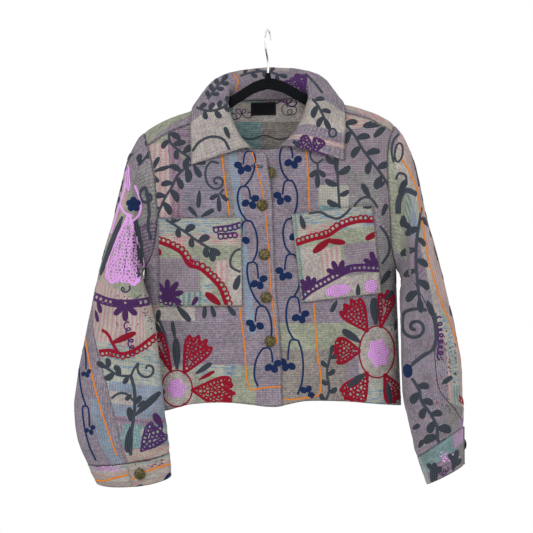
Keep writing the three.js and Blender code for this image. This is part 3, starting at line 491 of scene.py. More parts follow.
def sleeve_point(side, t, angle):
    """A sleeve's outer face at ring t. 0 degrees is its outer edge and 90 its front."""
    t, angle = np.broadcast_arrays(np.asarray(t, float), np.asarray(angle, float))
    ring = {name: between(side.rings, "t", name, t) for name in RING_COLUMNS.split()[1:9]}
    c, s = np.cos(np.radians(angle)), np.sin(np.radians(angle))
    half = {k: (ring["o" + k] - ring["i" + k]) / 2 for k in "xyz"}
    middle = {k: (ring["o" + k] + ring["i" + k]) / 2 for k in "xyz"}
    place = point(
        middle["x"] + c * half["x"],
        middle["y"] + c * half["y"] - s * ring["deep"],
        middle["z"] + c * half["z"] - ring["sag"] * np.maximum(s, 0),
    )
    outwards = unit(point(c * side.sign, -s, c * 0.6))
    turned = np.where(angle < -90, angle + 360, angle)
    fold = folds_at(side.folds, turned, t, 20.0) * smooth(t / 0.8) * smooth((10.6 - t) / 0.9)
    place = place + outwards * fold[..., None]
    z = arm_height(side, angle)
    x = arm_edge(side, z)

    def body(px):
        ahead = front_point(px, z, False)
        behind = back_point(px, np.maximum(ridge(px) - z, 0))
        return np.where((s >= 0)[..., None], ahead, behind)

    start = body(x)
    slope = np.clip((body(x + side.sign / 2)[..., 1] - start[..., 1]) * 2, -0.7, 0.7)
    top = side.armhole["x"][1]
    drop = np.clip((ridge(top) - ridge(top + side.sign * 8)) / 8, 0, 1) * np.maximum(c, 0)
    hang = 1.6 * smooth((-c - 0.5) / 0.5)
    away = unit(point(side.sign, slope * np.minimum(np.abs(s) / 0.25, 1), -drop - hang))
    start = start + point(side.sign * SEAM_GAP * (1.4 + 1.4 * np.maximum(c, 0)), 0, 0)
    start = start + away * (mix(40, 16, smooth((-c - 0.5) / 0.4)) * np.maximum(t, 0))[..., None]
    return np.where((t >= 1)[..., None], place, mix(start, place, smooth(t)[..., None]))


def normal_of(place, u, v, du, dv, turn):
    """The normals of a surface place(u, v), turned to the outside."""
    a = place(u + du, v) - place(u - du, v)
    b = place(u, v + dv) - place(u, v - dv)
    return unit(np.cross(a, b)) * turn


def underarm_turn(side, normal, t, angle):
    """Under the arm, where the rings fan out, the wall goes to the middle of its ring."""
    c, s = np.cos(np.radians(angle)), np.sin(np.radians(angle))
    down = unit(sleeve_point(side, t, angle * 0 + 180) - sleeve_point(side, t, angle * 0))
    ring = unit(down * -c[..., None] + point(0, -s * 1.6, 0))
    share = smooth((-c - 0.6) / 0.3) * smooth((5 - t) / 1.5)
    return unit(mix(normal, ring, share[..., None]))


def cuff_point(side, t, w):
    """A cuff's outer face, w degrees from its free end, which laps over the other."""
    angle = side.cuff_lap + side.cuff_turn * w
    normal = normal_of(lambda a, b: sleeve_point(side, a, b), t, angle, 0.002, 0.2, -side.sign)
    lift = 0.5 + (CUFF_CLOTH + LAP_GAP) * (1 - smooth((w - 22) / 26))
    return sleeve_point(side, t, angle) + normal * lift[..., None]


def collar_seam(side, s):
    """Where the collar starts, from its front end (0) to the middle of the back (1)."""
    s = np.asarray(s, float)
    inward = unit(np.array([-side.sign, 0, 0.75]))
    nx, nz = neckline(side, 1 - np.clip(s, 0, 0.5) / 0.5)
    ahead = front_point(nx, nz, side is RIGHT) + inward * (COLLAR_CLOTH + 2.2) + np.array([0, 1, 0])
    share = np.clip((s - 0.5) / 0.5, 0, 1)
    x = side.sign * mix(NECK_HALF_WIDTH, 0, share**1.35)
    flat = smooth((NECK_HALF_WIDTH - np.abs(x)) / 26.0)
    behind = back_point(x, back_start(x)) + inward * ((COLLAR_CLOTH + 2.2) * (1 - flat))[..., None]
    behind = behind + point(0, 1 - flat - (CLOTH + 0.6) * flat, 0.9 * flat)
    return np.where((s <= 0.5)[..., None], ahead, behind)


def loose_curve(points, at):
    """A smooth curve through four places, at a share of its length."""
    first, last = 2 * points[0] - points[1], 2 * points[3] - points[2]
    line = [first, *points, last]
    part = np.clip(at, 0, 1) * 3
    index = np.minimum(part.astype(int), 2)
    weight = (part - index)[..., None]
    stacked = np.stack(np.broadcast_arrays(*line))
    picks = [np.take_along_axis(stacked, (index + k)[None, ..., None], 0)[0] for k in range(4)]
    p0, p1, p2, p3 = picks
    gaps = np.linalg.norm(np.diff(picks, axis=0), axis=-1) ** 0.5
    d0, d1, d2 = np.maximum(gaps, 1e-3)[..., None]
    m1 = ((p1 - p0) / d0 - (p2 - p0) / (d0 + d1) + (p2 - p1) / d1) * d1
    m2 = ((p2 - p1) / d1 - (p3 - p1) / (d1 + d2) + (p3 - p2) / d2) * d1
    w2, w3 = weight**2, weight**3
    return p1 + m1 * weight + (-3 * p1 + 3 * p2 - 2 * m1 - m2) * w2 + (2 * p1 - 2 * p2 + m1 + m2) * w3


def collar_point(s, v):
    """The collar's outer face: s from right (-1) to left (1), v from seam to edge."""
    s, v = np.broadcast_arrays(np.asarray(s, float), np.asarray(v, float))
    along = 1 - np.abs(s)
    sign = np.where(s < 0, -1.0, 1.0)
    row = {name: between(COLLAR, "s", name, along) for name in COLLAR if name != "s"}
    x1, x2 = -sign * row["roll_x"], -sign * row["edge_x"]
    seam = np.where((s < 0)[..., None], collar_seam(RIGHT, along), collar_seam(LEFT, along))
    roll = point(x1, row["roll_y"], row["roll_z"] + COLLAR_TILT * x1)
    edge = point(x2, row["edge_y"], row["edge_z"] + COLLAR_TILT * x2)
    rise = mix(seam, roll, np.array([0.04, 0.25, 0.62]))
    place = loose_curve([seam, rise, roll, edge], v)
    x, z = place[..., 0], place[..., 2]
    over = (place[..., 1] < 10) & (z < ridge(x))
    body = np.where(s < 0, front_point(x, z, True)[..., 1], front_point(x, z, False)[..., 1])
    under = body - COLLAR_CLOTH - LAP_GAP * 1.6
    held = np.minimum(place[..., 1], mix(place[..., 1], under, smooth(v / 0.5)))
    place[..., 1] = np.where(over, held, place[..., 1])
    return place


def pocket_point(name, u, v):
    """A pocket's outer face, at u across and v up from its middle."""
    spec = POCKETS[name]
    c, s = heading(spec["lean"])
    x, z = spec["x"] + u * c - v * s, spec["z"] + u * s + v * c
    place = front_point(x, z, name == "pocket_right")
    mouth = POCKET_MOUTH * np.exp(-((v - spec["height"] / 2) ** 2) / 900)
    mouth = mouth * (1 - (2 * u / spec["width"]) ** 2)
    place[..., 1] -= CLOTH + LAP_GAP + POCKET_SPARE + mouth
    return place


# Meshes.
def refined(pairs, step):
    """The same grid in steps of about that size, along smooth lines."""
    for axis in (0, 1):
        grid = np.moveaxis(pairs, axis, 0)
        gaps = np.linalg.norm(np.diff(grid, axis=0), axis=-1).mean(axis=1)
        keys = np.concatenate([[0], np.cumsum(np.maximum(gaps, 0.05))])
        at = [keys[0]]
        for i, gap in enumerate(gaps):
            count = max(1, round(gap / step))
            at.extend(keys[i] + (keys[i + 1] - keys[i]) * np.arange(1, count + 1) / count)
        pairs = np.moveaxis(hermite(keys, grid, np.array(at)), 0, axis)
    return pairs


def edge_distance(outer):
    """How far each point of a grid is from its four edges, along the grid."""
    rows = np.linalg.norm(np.diff(outer, axis=0), axis=-1)
    columns = np.linalg.norm(np.diff(outer, axis=1), axis=-1)
    top = np.concatenate([np.zeros((1, outer.shape[1])), np.cumsum(rows, axis=0)])
    left = np.concatenate([np.zeros((outer.shape[0], 1)), np.cumsum(columns, axis=1)], axis=1)
    return {"top": top, "bottom": top[-1:] - top, "left": left, "right": left[:, -1:] - left}


def collection():
    """The collection that takes the pieces."""
    return bpy.context.scene.collection


def mesh_piece(name, places, faces, maps=None, materials=(), slots=None, smooth_shading=True):
    """A mesh object from places in millimetres, with UV maps of one value for each."""
    mesh = bpy.data.meshes.new(name)
    points = [tuple(p) for p in np.asarray(places) * MM]
    mesh.from_pydata(points, [], [tuple(map(int, f)) for f in faces])
    loops = np.empty(len(mesh.loops), int)
    mesh.loops.foreach_get("vertex_index", loops)
    for title, values in (maps or {}).items():
        layer = mesh.uv_layers.new(name=title)
        layer.data.foreach_set("uv", np.asarray(values, float)[loops].ravel())
    for material in materials:
        mesh.materials.append(material)
    if slots is not None:
        mesh.polygons.foreach_set("material_index", np.asarray(slots, int))
    mesh.polygons.foreach_set("use_smooth", np.full(len(mesh.polygons), smooth_shading))
    mesh.update()
    piece = bpy.data.objects.new(name, mesh)
    collection().objects.link(piece)
    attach(piece, "root")
    return piece


def quads(ids):
    """The four corners of each face of a grid."""
    return np.stack([ids[:-1, :-1], ids[:-1, 1:], ids[1:, 1:], ids[1:, :-1]], axis=-1).reshape(-1, 4)


def shell(name, outer, inner, edges, plane, materials):
    """A closed shell of cloth between two grids. plane is where each point is on the flat cloth."""
    rows, columns = outer.shape[:2]
    count = rows * columns
    ids = np.arange(count).reshape(rows, columns)
    back = quads(ids)
    face = back[:, [0, 3, 2, 1]]
    back = back + count
    rims = []
    for line, flip in ((ids[0], 0), (ids[-1], 1), (ids[:, 0], 1), (ids[:, -1], 0)):
        p, q = line[:-1], line[1:]
        strip = np.stack([p, q, q + count, p + count], axis=-1)
        rims.append(strip[:, ::-1] if flip else strip)
    faces = np.concatenate([face, back, *rims])
    places = np.concatenate([outer.reshape(-1, 3), inner.reshape(-1, 3)])
    corners = places[np.concatenate([face, back])]
    volume = (corners[:, 0] * np.cross(corners[:, 1], corners[:, 2])).sum()
    if volume < 0:
        faces = faces[:, ::-1]
    maps = {}
    for title, values in (("panel", plane), ("edges", edges)):
        flat = values.reshape(-1, 2) * MM
        maps[title] = np.concatenate([flat, flat])
    slots = np.zeros(len(faces), int)
    slots[len(face) : 2 * len(face)] = len(materials) - 1
    return mesh_piece(name, places, faces, maps, materials, slots)


def rolled(outer, inner, share=0.36):
    """Rounds the edges of a shell by drawing its two faces together."""
    middle = (outer + inner) / 2
    for line in (np.s_[0, :], np.s_[-1, :], np.s_[:, 0], np.s_[:, -1]):
        outer[line] = mix(outer[line], middle[line], share)
        inner[line] = mix(inner[line], middle[line], share)
    return outer, inner


def hem_rise(distance, width, height=0.7):
    """The step that a turned hem makes."""
    return height * smooth((width + 1.5 - distance) / 3.0)


def puckers(u, v, seed):
    """The quilting's unevenness, as the sum of many soft waves."""
    random = np.random.default_rng(seed)
    total = np.zeros(np.broadcast(u, v).shape)
    for _ in range(26):
        length = random.uniform(11, 60)
        turn = random.uniform(0, np.pi)
        phase = random.uniform(0, 2 * np.pi)
        wave = 2 * np.pi / length * (u * math.cos(turn) + v * math.sin(turn)) + phase
        total = total + np.sin(wave) * (length / 60) ** 0.7
    return total * 0.11


def rim(distance):
    """How far each point is from the nearer side and the nearer end."""
    sides = np.minimum(distance["left"], distance["right"])
    return np.stack([sides, np.minimum(distance["top"], distance["bottom"])], axis=-1)


def dressed(place, grid, thickness, turn, du, dv, plane, seed, hems=(), fix=None, wall_turn=None):
    """A piece's outer and inner grids with puckers and hems, and how far its edges are."""
    u, v = grid[..., 0], grid[..., 1]
    outer = place(u, v)
    normal = normal_of(place, u, v, du, dv, turn)
    wall = wall_turn(normal, u, v) if wall_turn else normal
    inner = outer - wall * thickness
    distance = edge_distance(outer)
    raised = puckers(plane[..., 0], plane[..., 1], seed)
    for edge, width in hems:
        raised = raised + hem_rise(distance[edge], width)
    near = np.minimum.reduce(list(distance.values()))
    steps = sum(hem_rise(distance[edge], width, 0.3) for edge, width in hems)
    raised = raised * smooth(near / 6.0) + steps
    outer = outer + normal * raised[..., None]
    if fix is not None:
        outer, inner = fix(outer), fix(inner)
    return (*rolled(outer, inner), rim(distance))


# Finishes.
def rgb(red, green, blue):
    """A colour from 0 to 255, in the shader's own numbers."""
    made = []
    for value in (red, green, blue):
        value = value / 255
        made.append(value / 12.92 if value <= 0.04045 else ((value + 0.055) / 1.055) ** 2.4)
    return (*made, 1.0)


class Term:
    """A socket in a finish. Arithmetic on it adds nodes."""

    def __init__(self, finish, socket):
        self.finish = finish
        self.socket = socket

    def __add__(self, other):
        return self.finish.math("ADD", self, other)

    def __radd__(self, other):
        return self.finish.math("ADD", other, self)

    def __sub__(self, other):
        return self.finish.math("SUBTRACT", self, other)

    def __rsub__(self, other):
        return self.finish.math("SUBTRACT", other, self)

    def __mul__(self, other):
        return self.finish.math("MULTIPLY", self, other)

    def __rmul__(self, other):
        return self.finish.math("MULTIPLY", other, self)

    def __truediv__(self, other):
        return self.finish.math("DIVIDE", self, other)

    def __rtruediv__(self, other):
        return self.finish.math("DIVIDE", other, self)

    def __abs__(self):
        return self.finish.math("ABSOLUTE", self)


class Finish:
    """A material, made node by node."""

    def __init__(self, name):
        self.material = bpy.data.materials.new(name)
        self.material.use_nodes = True
        self.tree = self.material.node_tree
        self.tree.nodes.clear()

    def node(self, kind, settings=None, sockets=None):
        """Adds a node, its settings, then the values or links of its sockets."""
        made = self.tree.nodes.new(kind)
        for name, value in (settings or {}).items():
            setattr(made, name, value)
        for key, value in (sockets or {}).items():
            socket = made.inputs[key]
            if isinstance(value, Term):
                self.tree.links.new(value.socket, socket)
            else:
                socket.default_value = value
        return made

    def term(self, kind, settings=None, sockets=None, output=0):
        """Adds a node and gives one of its outputs."""
        return Term(self, self.node(kind, settings, sockets).outputs[output])

    def math(self, operation, *values):
        """A Math node."""
        return self.term("ShaderNodeMath", {"operation": operation}, dict(enumerate(values)))

    def blend(self, share, first, second):
        """The colour at that share of the way from the first to the second."""
        settings = {"data_type": "RGBA"}
        return self.term("ShaderNodeMix", settings, {0: share, 6: first, 7: second}, 2)

    def tint(self, colour, amount, by):
        """A colour multiplied by a grey value."""
        settings = {"data_type": "RGBA", "blend_type": "MULTIPLY"}
        grey = self.term("ShaderNodeCombineColor", None, {0: by, 1: by, 2: by})
        return self.term("ShaderNodeMix", settings, {0: amount, 6: colour, 7: grey}, 2)

    def step(self, value, low, high):
        """A soft step from 0 at low to 1 at high."""
        settings = {"interpolation_type": "SMOOTHSTEP"}
        return self.term("ShaderNodeMapRange", settings, {0: value, 1: low, 2: high})

    def fold(self, value):
        """The part after the point."""
        return self.math("FRACT", value)

    def vector(self, x, y, z=0.0):
        """A vector from its three values."""
        return self.term("ShaderNodeCombineXYZ", None, {0: x, 1: y, 2: z})

    def noise(self, vector, scale, detail=2.0, rough=0.5):
        """A noise value."""
        sockets = {"Vector": vector, "Scale": scale, "Detail": detail, "Roughness": rough}
        return self.term("ShaderNodeTexNoise", None, sockets)

    def chance(self, vector):
        """A value and a colour that are random for each cell."""
        made = self.node("ShaderNodeTexWhiteNoise", {"noise_dimensions": "3D"}, {"Vector": vector})
        return Term(self, made.outputs["Value"]), Term(self, made.outputs["Color"])

    def map(self, name):
        """The two coordinates of a mesh's own map, in thousandths."""
        place = self.term("ShaderNodeUVMap", {"uv_map": name})
        made = self.node("ShaderNodeSeparateXYZ", None, {0: place})
        return Term(self, made.outputs[0]) * 1000.0, Term(self, made.outputs[1]) * 1000.0

    def place(self):
        """The place in the object's own space, in millimetres."""
        own = self.term("ShaderNodeTexCoord", None, None, 3)
        return self.term("ShaderNodeVectorMath", {"operation": "SCALE"}, {0: own, 3: 1000.0})

    def surface(self, colour, roughness, height=None, strength=1.0, **constants):
        """The shader itself, with a height in millimetres for its relief."""
        sockets = {"Base Color": colour, "Roughness": roughness}
        for name, value in constants.items():
            sockets[name.replace("_", " ")] = value
        if height is not None:
            relief = {"Strength": strength, "Distance": 1.0, "Height": height * MM}
            sockets["Normal"] = self.term("ShaderNodeBump", None, relief)
        shader = self.term("ShaderNodeBsdfPrincipled", None, sockets)
        self.node("ShaderNodeOutputMaterial", None, {"Surface": shader})
        return self.material


# The cloth's colours, as first and second colour of each kind of patch, and the pattern that joins them.
TONES = {
    "ground": ((160, 148, 160), (134, 123, 142), "mottle"),
    "grey": ((152, 148, 149), (132, 128, 133), "mottle"),
    "cream": ((205, 198, 188), (178, 168, 166), "mottle"),
    "warm": ((190, 176, 168), (164, 150, 150), "mottle"),
    "olive": ((176, 182, 158), (150, 154, 136), "mottle"),
    "beige": ((166, 158, 146), (138, 128, 130), "mottle"),
    "teal": ((138, 172, 170), (110, 144, 152), "mottle"),
    "blue": ((142, 164, 184), (150, 148, 168), "streaks"),
    "mauve": ((156, 138, 154), (128, 108, 132), "across"),
    "plum": ((146, 112, 136), (162, 142, 154), "along"),
    "pink": ((204, 192, 182), (200, 148, 158), "along"),
    "plaid": ((146, 132, 146), (170, 158, 166), "check"),
    "checked": ((196, 194, 180), (154, 150, 150), "check"),
    "streaks": ((190, 191, 176), (126, 158, 182), "streaks"),
    "blush": ((188, 185, 170), (210, 138, 152), "streaks"),
    "tealed": ((182, 185, 168), (78, 144, 154), "along"),
    "lilac": ((200, 156, 204), (178, 148, 184), "mottle"),
    "slub": ((150, 142, 158), (128, 120, 140), "streaks"),
    # A darker copy of mauve, painted as shade by the right armhole on the front and the sleeve.
    "dusk": ((124, 110, 128), (98, 84, 106), "mottle"),
}


def quilted(name, ground, patches, upright=False, row_mm=3.7, topstitch=0.8):
    """Patchwork held by rows of running stitches."""
    finish = Finish(name)
    u, v = finish.map("panel")
    place = finish.vector(u, v)
    wander = finish.noise(place, 0.05, 1.0) * 5.0 - 2.5
    across, along = (v, u) if upright else (u, v)
    row = (along + wander * 0.35) / row_mm
    row_at = finish.math("FLOOR", row)
    in_row = finish.fold(row) - 0.5
    shift, _ = finish.chance(finish.vector(row_at, 3.0))
    run = (across + wander * 1.4) / 4.8 + shift * 9.0
    run_at = finish.math("FLOOR", run)
    in_run = finish.fold(run)
    luck, _ = finish.chance(finish.vector(row_at, run_at, 1.0))
    stitch = finish.step(abs(in_row), 0.24, 0.1) * finish.step(abs(in_run - 0.4), 0.34, 0.26)
    mottle = finish.noise(place, 0.16, 4.0, 0.7)
    fine = finish.noise(place, 0.9, 2.0, 0.6)
    streak = finish.noise(finish.vector(u * 0.12, v * 1.0), 0.34, 3.0, 0.6)
    patterns = {
        "mottle": finish.step(mottle, 0.38, 0.62),
        "along": finish.step(abs(finish.fold((u + wander) / 9.0) - 0.5) + fine * 0.3, 0.3, 0.52) * 0.8,
        "across": finish.step(abs(finish.fold((v + wander) / 11.0) - 0.5) + fine * 0.3, 0.3, 0.54) * 0.8,
        "streaks": finish.step(streak, 0.5, 0.58),
    }
    lines = finish.math("MINIMUM", abs(finish.fold(u / 4.4) - 0.5), abs(finish.fold(v / 4.4) - 0.5))
    patterns["check"] = finish.step(lines + fine * 0.22, 0.3, 0.14) * 0.75

    def tone(title):
        first, second, pattern = TONES[title]
        return finish.blend(patterns[pattern], rgb(*first), rgb(*second))

    colour = tone(ground)
    for title, left, right, bottom, top, *lean in patches:
        x, y = u, v
        mx, my = (left + right) / 2, (bottom + top) / 2
        if lean:
            c, s = heading(*lean)
            x = u * c + v * s + (mx - mx * c - my * s)
            y = v * c - u * s + (my - my * c + mx * s)
        wide, tall = (right - left) / 2, (top - bottom) / 2
        inside_x = finish.step(abs(x + wander * 0.4 - mx), wide + 0.9, wide - 0.9)
        inside_y = finish.step(abs(y + wander * 0.4 - my), tall + 0.9, tall - 0.9)
        colour = finish.blend(inside_x * inside_y, colour, tone(title))
    speck = finish.blend(finish.step(luck, 0.45, 0.5), rgb(206, 200, 190), rgb(164, 156, 168))
    rare = ((0.80, 0.82, (196, 120, 136)), (0.90, 0.92, (98, 140, 150)), (0.96, 0.97, (96, 76, 116)))
    for low, high, thread in rare:
        speck = finish.blend(finish.step(luck, low, high), speck, rgb(*thread))
    colour = finish.blend(stitch * 0.42, colour, speck)
    side, end = finish.map("edges")
    near = finish.math("MINIMUM", side, end)
    seam = finish.step(abs(near - 4.2), 1.0, 0.4) * topstitch
    dash = finish.step(abs(finish.fold((u + v) / 4.4) - 0.5), 0.36, 0.28)
    colour = finish.blend(seam * dash, colour, rgb(188, 180, 176))
    # Painted shade in the furrows between the stitched rows; the fine noise in this line is the cloth's
    # own mottle.
    shade = 0.72 + 0.54 * finish.step(fine, 0.3, 0.7) - 0.24 * finish.step(abs(in_row), 0.3, 0.5)
    # Painted shade along the piece's edges and in the seam groove between the dashes.
    shade = shade - 0.22 * finish.step(near, 2.6, 0.2) - 0.10 * seam * (1.0 - dash)
    # Broad painted shade in large soft blotches; the factor also darkens the cloth overall.
    cloud = finish.noise(place, 0.022, 3.0, 0.6)
    shade = shade * (0.30 + 0.50 * cloud)
    colour = finish.tint(colour, 1.0, shade)
    cushion = finish.math("COSINE", in_row * (2 * math.pi)) * 0.5 + 0.5
    rumple = finish.noise(place, 0.07, 2.0, 0.55)
    height = cushion * 0.5 - stitch * 0.26 + fine * 0.34
    height = height + finish.noise(place, 0.28, 2.0) * 1.1 + rumple * 5.5
    height = height - seam * (0.5 - 0.35 * dash) - finish.step(near, 3.4, 0.4) * 0.6
    sheen = {"Sheen_Weight": 0.06, "Sheen_Roughness": 0.6, "Specular_IOR_Level": 0.12}
    return finish.surface(colour, 0.88, height, 0.9, **sheen)


def chain_stitch(colour):
    """Rows of chain stitches. The map counts stitches along and rows across."""
    finish = Finish(f"thread_{colour}")
    light = tuple(getattr(bpy.context.scene.jacket_threads, colour)) + (1.0,)
    # dark is painted shade: a much darker copy of the thread colour for the gaps between strands and the
    # holes in the loops.
    dark = tuple(part * 0.14 for part in light[:3]) + (1.0,)
    x, y = finish.map("stitches")
    across = finish.fold(y + 0.5) - 0.5
    row_at = finish.math("FLOOR", y + 0.5)
    loop = finish.fold(x + abs(across) * 0.9 + finish.chance(finish.vector(row_at, 5.0))[0])
    strand = finish.step(abs(across), 0.5, 0.22)
    hole = finish.step(abs(across), 0.16, 0.04) * finish.step(abs(loop - 0.45), 0.3, 0.12)
    rise = finish.math("SINE", loop * math.pi)
    place = finish.vector(x, y)
    fuzz = finish.noise(place, 6.0, 3.0, 0.7)
    # Painted light on the stitches: lighter on the crest of each loop, painted shade at the row edges and
    # in the holes.
    lit = strand * (0.45 + 0.6 * rise) * (1.0 - 0.75 * hole)
    body = finish.blend(lit, dark, light)
    body = finish.tint(body, 0.85, 0.7 + 0.9 * fuzz)
    height = 0.55 * strand * (0.45 + 0.55 * rise) - 0.3 * hole + 0.16 * fuzz
    return finish.surface(body, 0.8, height, 0.8, Sheen_Weight=0.04, Specular_IOR_Level=0.14)


# Embroidery. Motifs are drawn flat, as seen from one side, and then laid on the cloth.
VIEWS = {
    "front": (0, 2, 1, -600.0, 1.0),
    "back": (0, 2, 1, 600.0, -1.0),
    "inside": (0, 2, 1, -2.0, 1.0),
    "right": (1, 2, 0, -900.0, 1.0),
    "left": (1, 2, 0, 900.0, -1.0),
}
STITCH = 4.2
ROW = 3.1


def photo(*pairs):
    """Places on the front, from the photograph's pixels."""
    return np.array([((x - 268) * MM_PER_PIXEL, (31 - y) * MM_PER_PIXEL) for x, y in pairs])


def lengths(path):
    """How far along a line each of its places is."""
    return np.concatenate([[0], np.cumsum(np.linalg.norm(np.diff(path, axis=0), axis=1))])


def direction(path, i):
    """The direction of a line at one of its places."""
    return unit(path[min(i + 1, len(path) - 1)] - path[max(i - 1, 0)])


def sideways(tangent):
    """Directions turned a quarter to the left."""
    return np.stack([-tangent[..., 1], tangent[..., 0]], axis=-1)


def oval(angle, across=2.0, tall=2.0, turn=0.0):
    """Places on a turned oval, at angles in radians."""
    c, s = heading(turn)
    x, y = np.cos(angle) * across / 2, np.sin(angle) * tall / 2
    return np.stack([x * c - y * s, x * s + y * c], axis=-1)


def flow(points, step=1.9, closed=False):
    """A smooth line through points, in steps of about that size."""
    points = np.asarray(points, float)
    if closed:
        points = np.concatenate([points, points[:1]])
    if len(points) == 2:
        points = np.array([points[0], points.mean(axis=0), points[1]])
    gaps = np.linalg.norm(np.diff(points, axis=0), axis=1)
    keys = np.concatenate([[0], np.cumsum(np.maximum(gaps, 1e-3))])
    count = max(3, round(keys[-1] / step) + 1)
    at = np.linspace(0, keys[-1], count)
    if closed:
        period = keys[-1]
        keys = np.concatenate([keys[:-1] - period, keys, keys[1:] + period])
        points = np.concatenate([points[:-1], points, points[1:]])
    return hermite(keys, points, at)


def heading(angle):
    """The direction of an angle in degrees, counted from the right."""
    return np.array([math.cos(math.radians(angle)), math.sin(math.radians(angle))])


class Needle:
    """The embroidery of one piece of cloth."""

    def __init__(self, name, cloths, view, seed=1):
        self.name = name
        self.cloths = cloths
        self.view = VIEWS[view]
        self.random = np.random.default_rng(seed)
        self.flat = []
        self.lift = []
        self.map = []
        self.faces = []
        self.slots = []
        self.colours = []
        self.count = 0

    def add(self, grid, lift, along, across, colour):
        """A grid of flat places, their lifts and their counts of stitches and rows."""
        rows, columns = grid.shape[:2]
        ids = np.arange(rows * columns).reshape(rows, columns) + self.count
        faces = quads(ids)
        if colour not in self.colours:
            self.colours.append(colour)
        self.flat.append(grid.reshape(-1, 2))
        self.lift.append(np.broadcast_to(lift, (rows, columns)).reshape(-1))
        self.map.append(np.stack(np.broadcast_arrays(along, across), axis=-1).reshape(-1, 2))
        self.faces.append(faces)
        self.slots.append(np.full(len(faces), self.colours.index(colour)))
        self.count += rows * columns

    def line(self, points, colour, width=2.6, closed=False, lift=0.75, step=1.9):
        """A row of chain stitches."""
        path = flow(points, step, closed)
        tangent = np.gradient(path, axis=0)
        if closed:
            tangent[0] = tangent[-1] = path[1] - path[-2]
        side = sideways(unit(tangent))
        share = np.array([-0.5, -0.3, 0.0, 0.3, 0.5])
        grid = path[:, None] + side[:, None] * (share * width)[None, :, None]
        rise = np.array([-0.35, 0.7, 1.0, 0.7, -0.35]) * lift
        self.add(grid, rise, lengths(path)[:, None] / STITCH, share * 0.96, colour)

    def leaf(self, base, tip, width, colour="slate", club=1.25, bend=0.0, lift=1.1):
        """A filled leaf, fuller towards its tip where club is over 1."""
        base, tip = np.asarray(base, float), np.asarray(tip, float)
        reach = np.linalg.norm(tip - base)
        count = max(6, round(reach / 2.3))
        s = np.linspace(0, 1, count + 1)
        forward = (tip - base) / max(reach, 1e-6)
        side = sideways(forward)
        spine = base + forward * (s * reach)[:, None]
        spine = spine + side * (bend * reach * np.sin(np.pi * s))[:, None]
        half = width / 2 * np.maximum(np.sin(np.pi * s**club), 0) ** 0.42
        half = np.maximum(half, 0.2 * width * (s < 0.5))
        u = np.linspace(-1, 1, max(7, 2 * round(width / 6) + 1))
        grid = spine[:, None] + side * (half[:, None] * u[None])[..., None]
        rise = lift * np.sqrt(np.maximum(1 - u**4, 0)) * np.minimum(half / (0.3 * width), 1)[:, None]
        self.add(grid, rise - 0.25, (s * reach / STITCH)[:, None], half[:, None] * u / ROW, colour)

    def disc(self, centre, across, tall, colour, lobes=0, depth=0.14, turn=0.0, lift=1.1):
        """A round fill, worked outwards, with any lobes at its edge."""
        angle = np.linspace(0, 2 * np.pi, 33 if lobes > 3 else 21)
        reach = np.linspace(0.02, 1, 5 if across < 20 else 8)
        wave = 1 + depth * np.cos(lobes * angle) if lobes else np.ones_like(angle)
        edge = oval(angle, wave * across, wave * tall, turn)
        grid = np.asarray(centre, float) + reach[:, None, None] * edge[None]
        rise = lift * np.sqrt(np.maximum(1 - reach**5, 0))[:, None] - 0.25
        size = (across + tall) / 4
        self.add(grid, rise, angle * size * 0.6 / STITCH, reach[:, None] * size / ROW, colour)

    def ring(self, centre, across, tall, colour, width=2.2, turn=0.0):
        """An open round line."""
        angle = np.radians(np.arange(0, 360, 30.0))
        points = np.asarray(centre, float) + oval(angle, across, tall, turn)
        self.line(points, colour, width, closed=True, step=1.7)

    def chain(self, points, colour, across=8.0, side=1, width=2.1, rail=3.0, double=False):
        """A rail with small rings along it."""
        path = flow(points, 1.9)
        if rail:
            self.line(points, colour, rail)
            if double:
                normal = sideways(unit(np.gradient(path, axis=0)))
                offset = normal * side * (across + rail * 0.4)
                self.line(path[::3] + offset[::3], colour, rail * 0.85)
        gaps = lengths(path)
        for at in np.arange(across * 0.5, gaps[-1], across * 0.92):
            i = min(np.searchsorted(gaps, at), len(path) - 1)
            normal = sideways(direction(path, i)) * side
            size = across * self.random.uniform(0.85, 1.05)
            self.ring(path[i] + normal * (size * 0.5 + rail * 0.15), size, size, colour, width)

    def branch(self, points, leaves, size, width, angle, fat, ends=True):
        """A slate stem with leaves along it, in turn on each side."""
        self.line(points, "slate", width)
        path = flow(points, 1.9)
        for k in range(leaves):
            i = int((0.12 + 0.8 * k / max(leaves - 1, 1)) * (len(path) - 1))
            x, y = direction(path, i)
            lean = math.degrees(math.atan2(y, x))
            side = 1 - 2 * (k % 2)
            reach = size * self.random.uniform(0.85, 1.12)
            way = heading(lean + side * (angle + self.random.uniform(-9, 9)))
            self.leaf(path[i], path[i] + way * reach, reach * fat, "slate", 1.16, 0.08 * side)
        if ends:
            way = unit(path[-1] - path[-4])
            self.leaf(path[-1] - way, path[-1] + way * size, size * fat, "slate", 1.16)

    def spiral(self, centre, radius, turns, start, width, way, tail):
        """A slate curl from its middle outwards, then a tail."""
        share = np.linspace(0.12, 1, int(12 * turns) + 2)
        angle = np.radians(start) + way * (share - 1) * turns * 2 * np.pi
        points = np.asarray(centre, float) + oval(angle) * (share * radius)[:, None]
        self.line(np.concatenate([points, np.asarray(tail, float)]), "slate", width)

    def clover(self, centre, angle, size):
        """Three round navy petals."""
        centre = np.asarray(centre, float)
        for turn in (-78, 0, 78):
            way = heading(angle + turn + self.random.uniform(-10, 10))
            self.disc(centre + way * size * 0.72, size * 1.2, size * 1.0, "navy", turn=angle + turn)

    def tuft(self, base, angle, count, size, colour, spread=62.0, fat=0.36):
        """Petals that spread from one place."""
        for turn in np.linspace(-spread, spread, count):
            way = heading(angle + turn)
            reach = size * (1 - 0.12 * abs(turn) / spread)
            self.leaf(base, np.asarray(base) + way * reach, reach * fat, colour, 1.35)

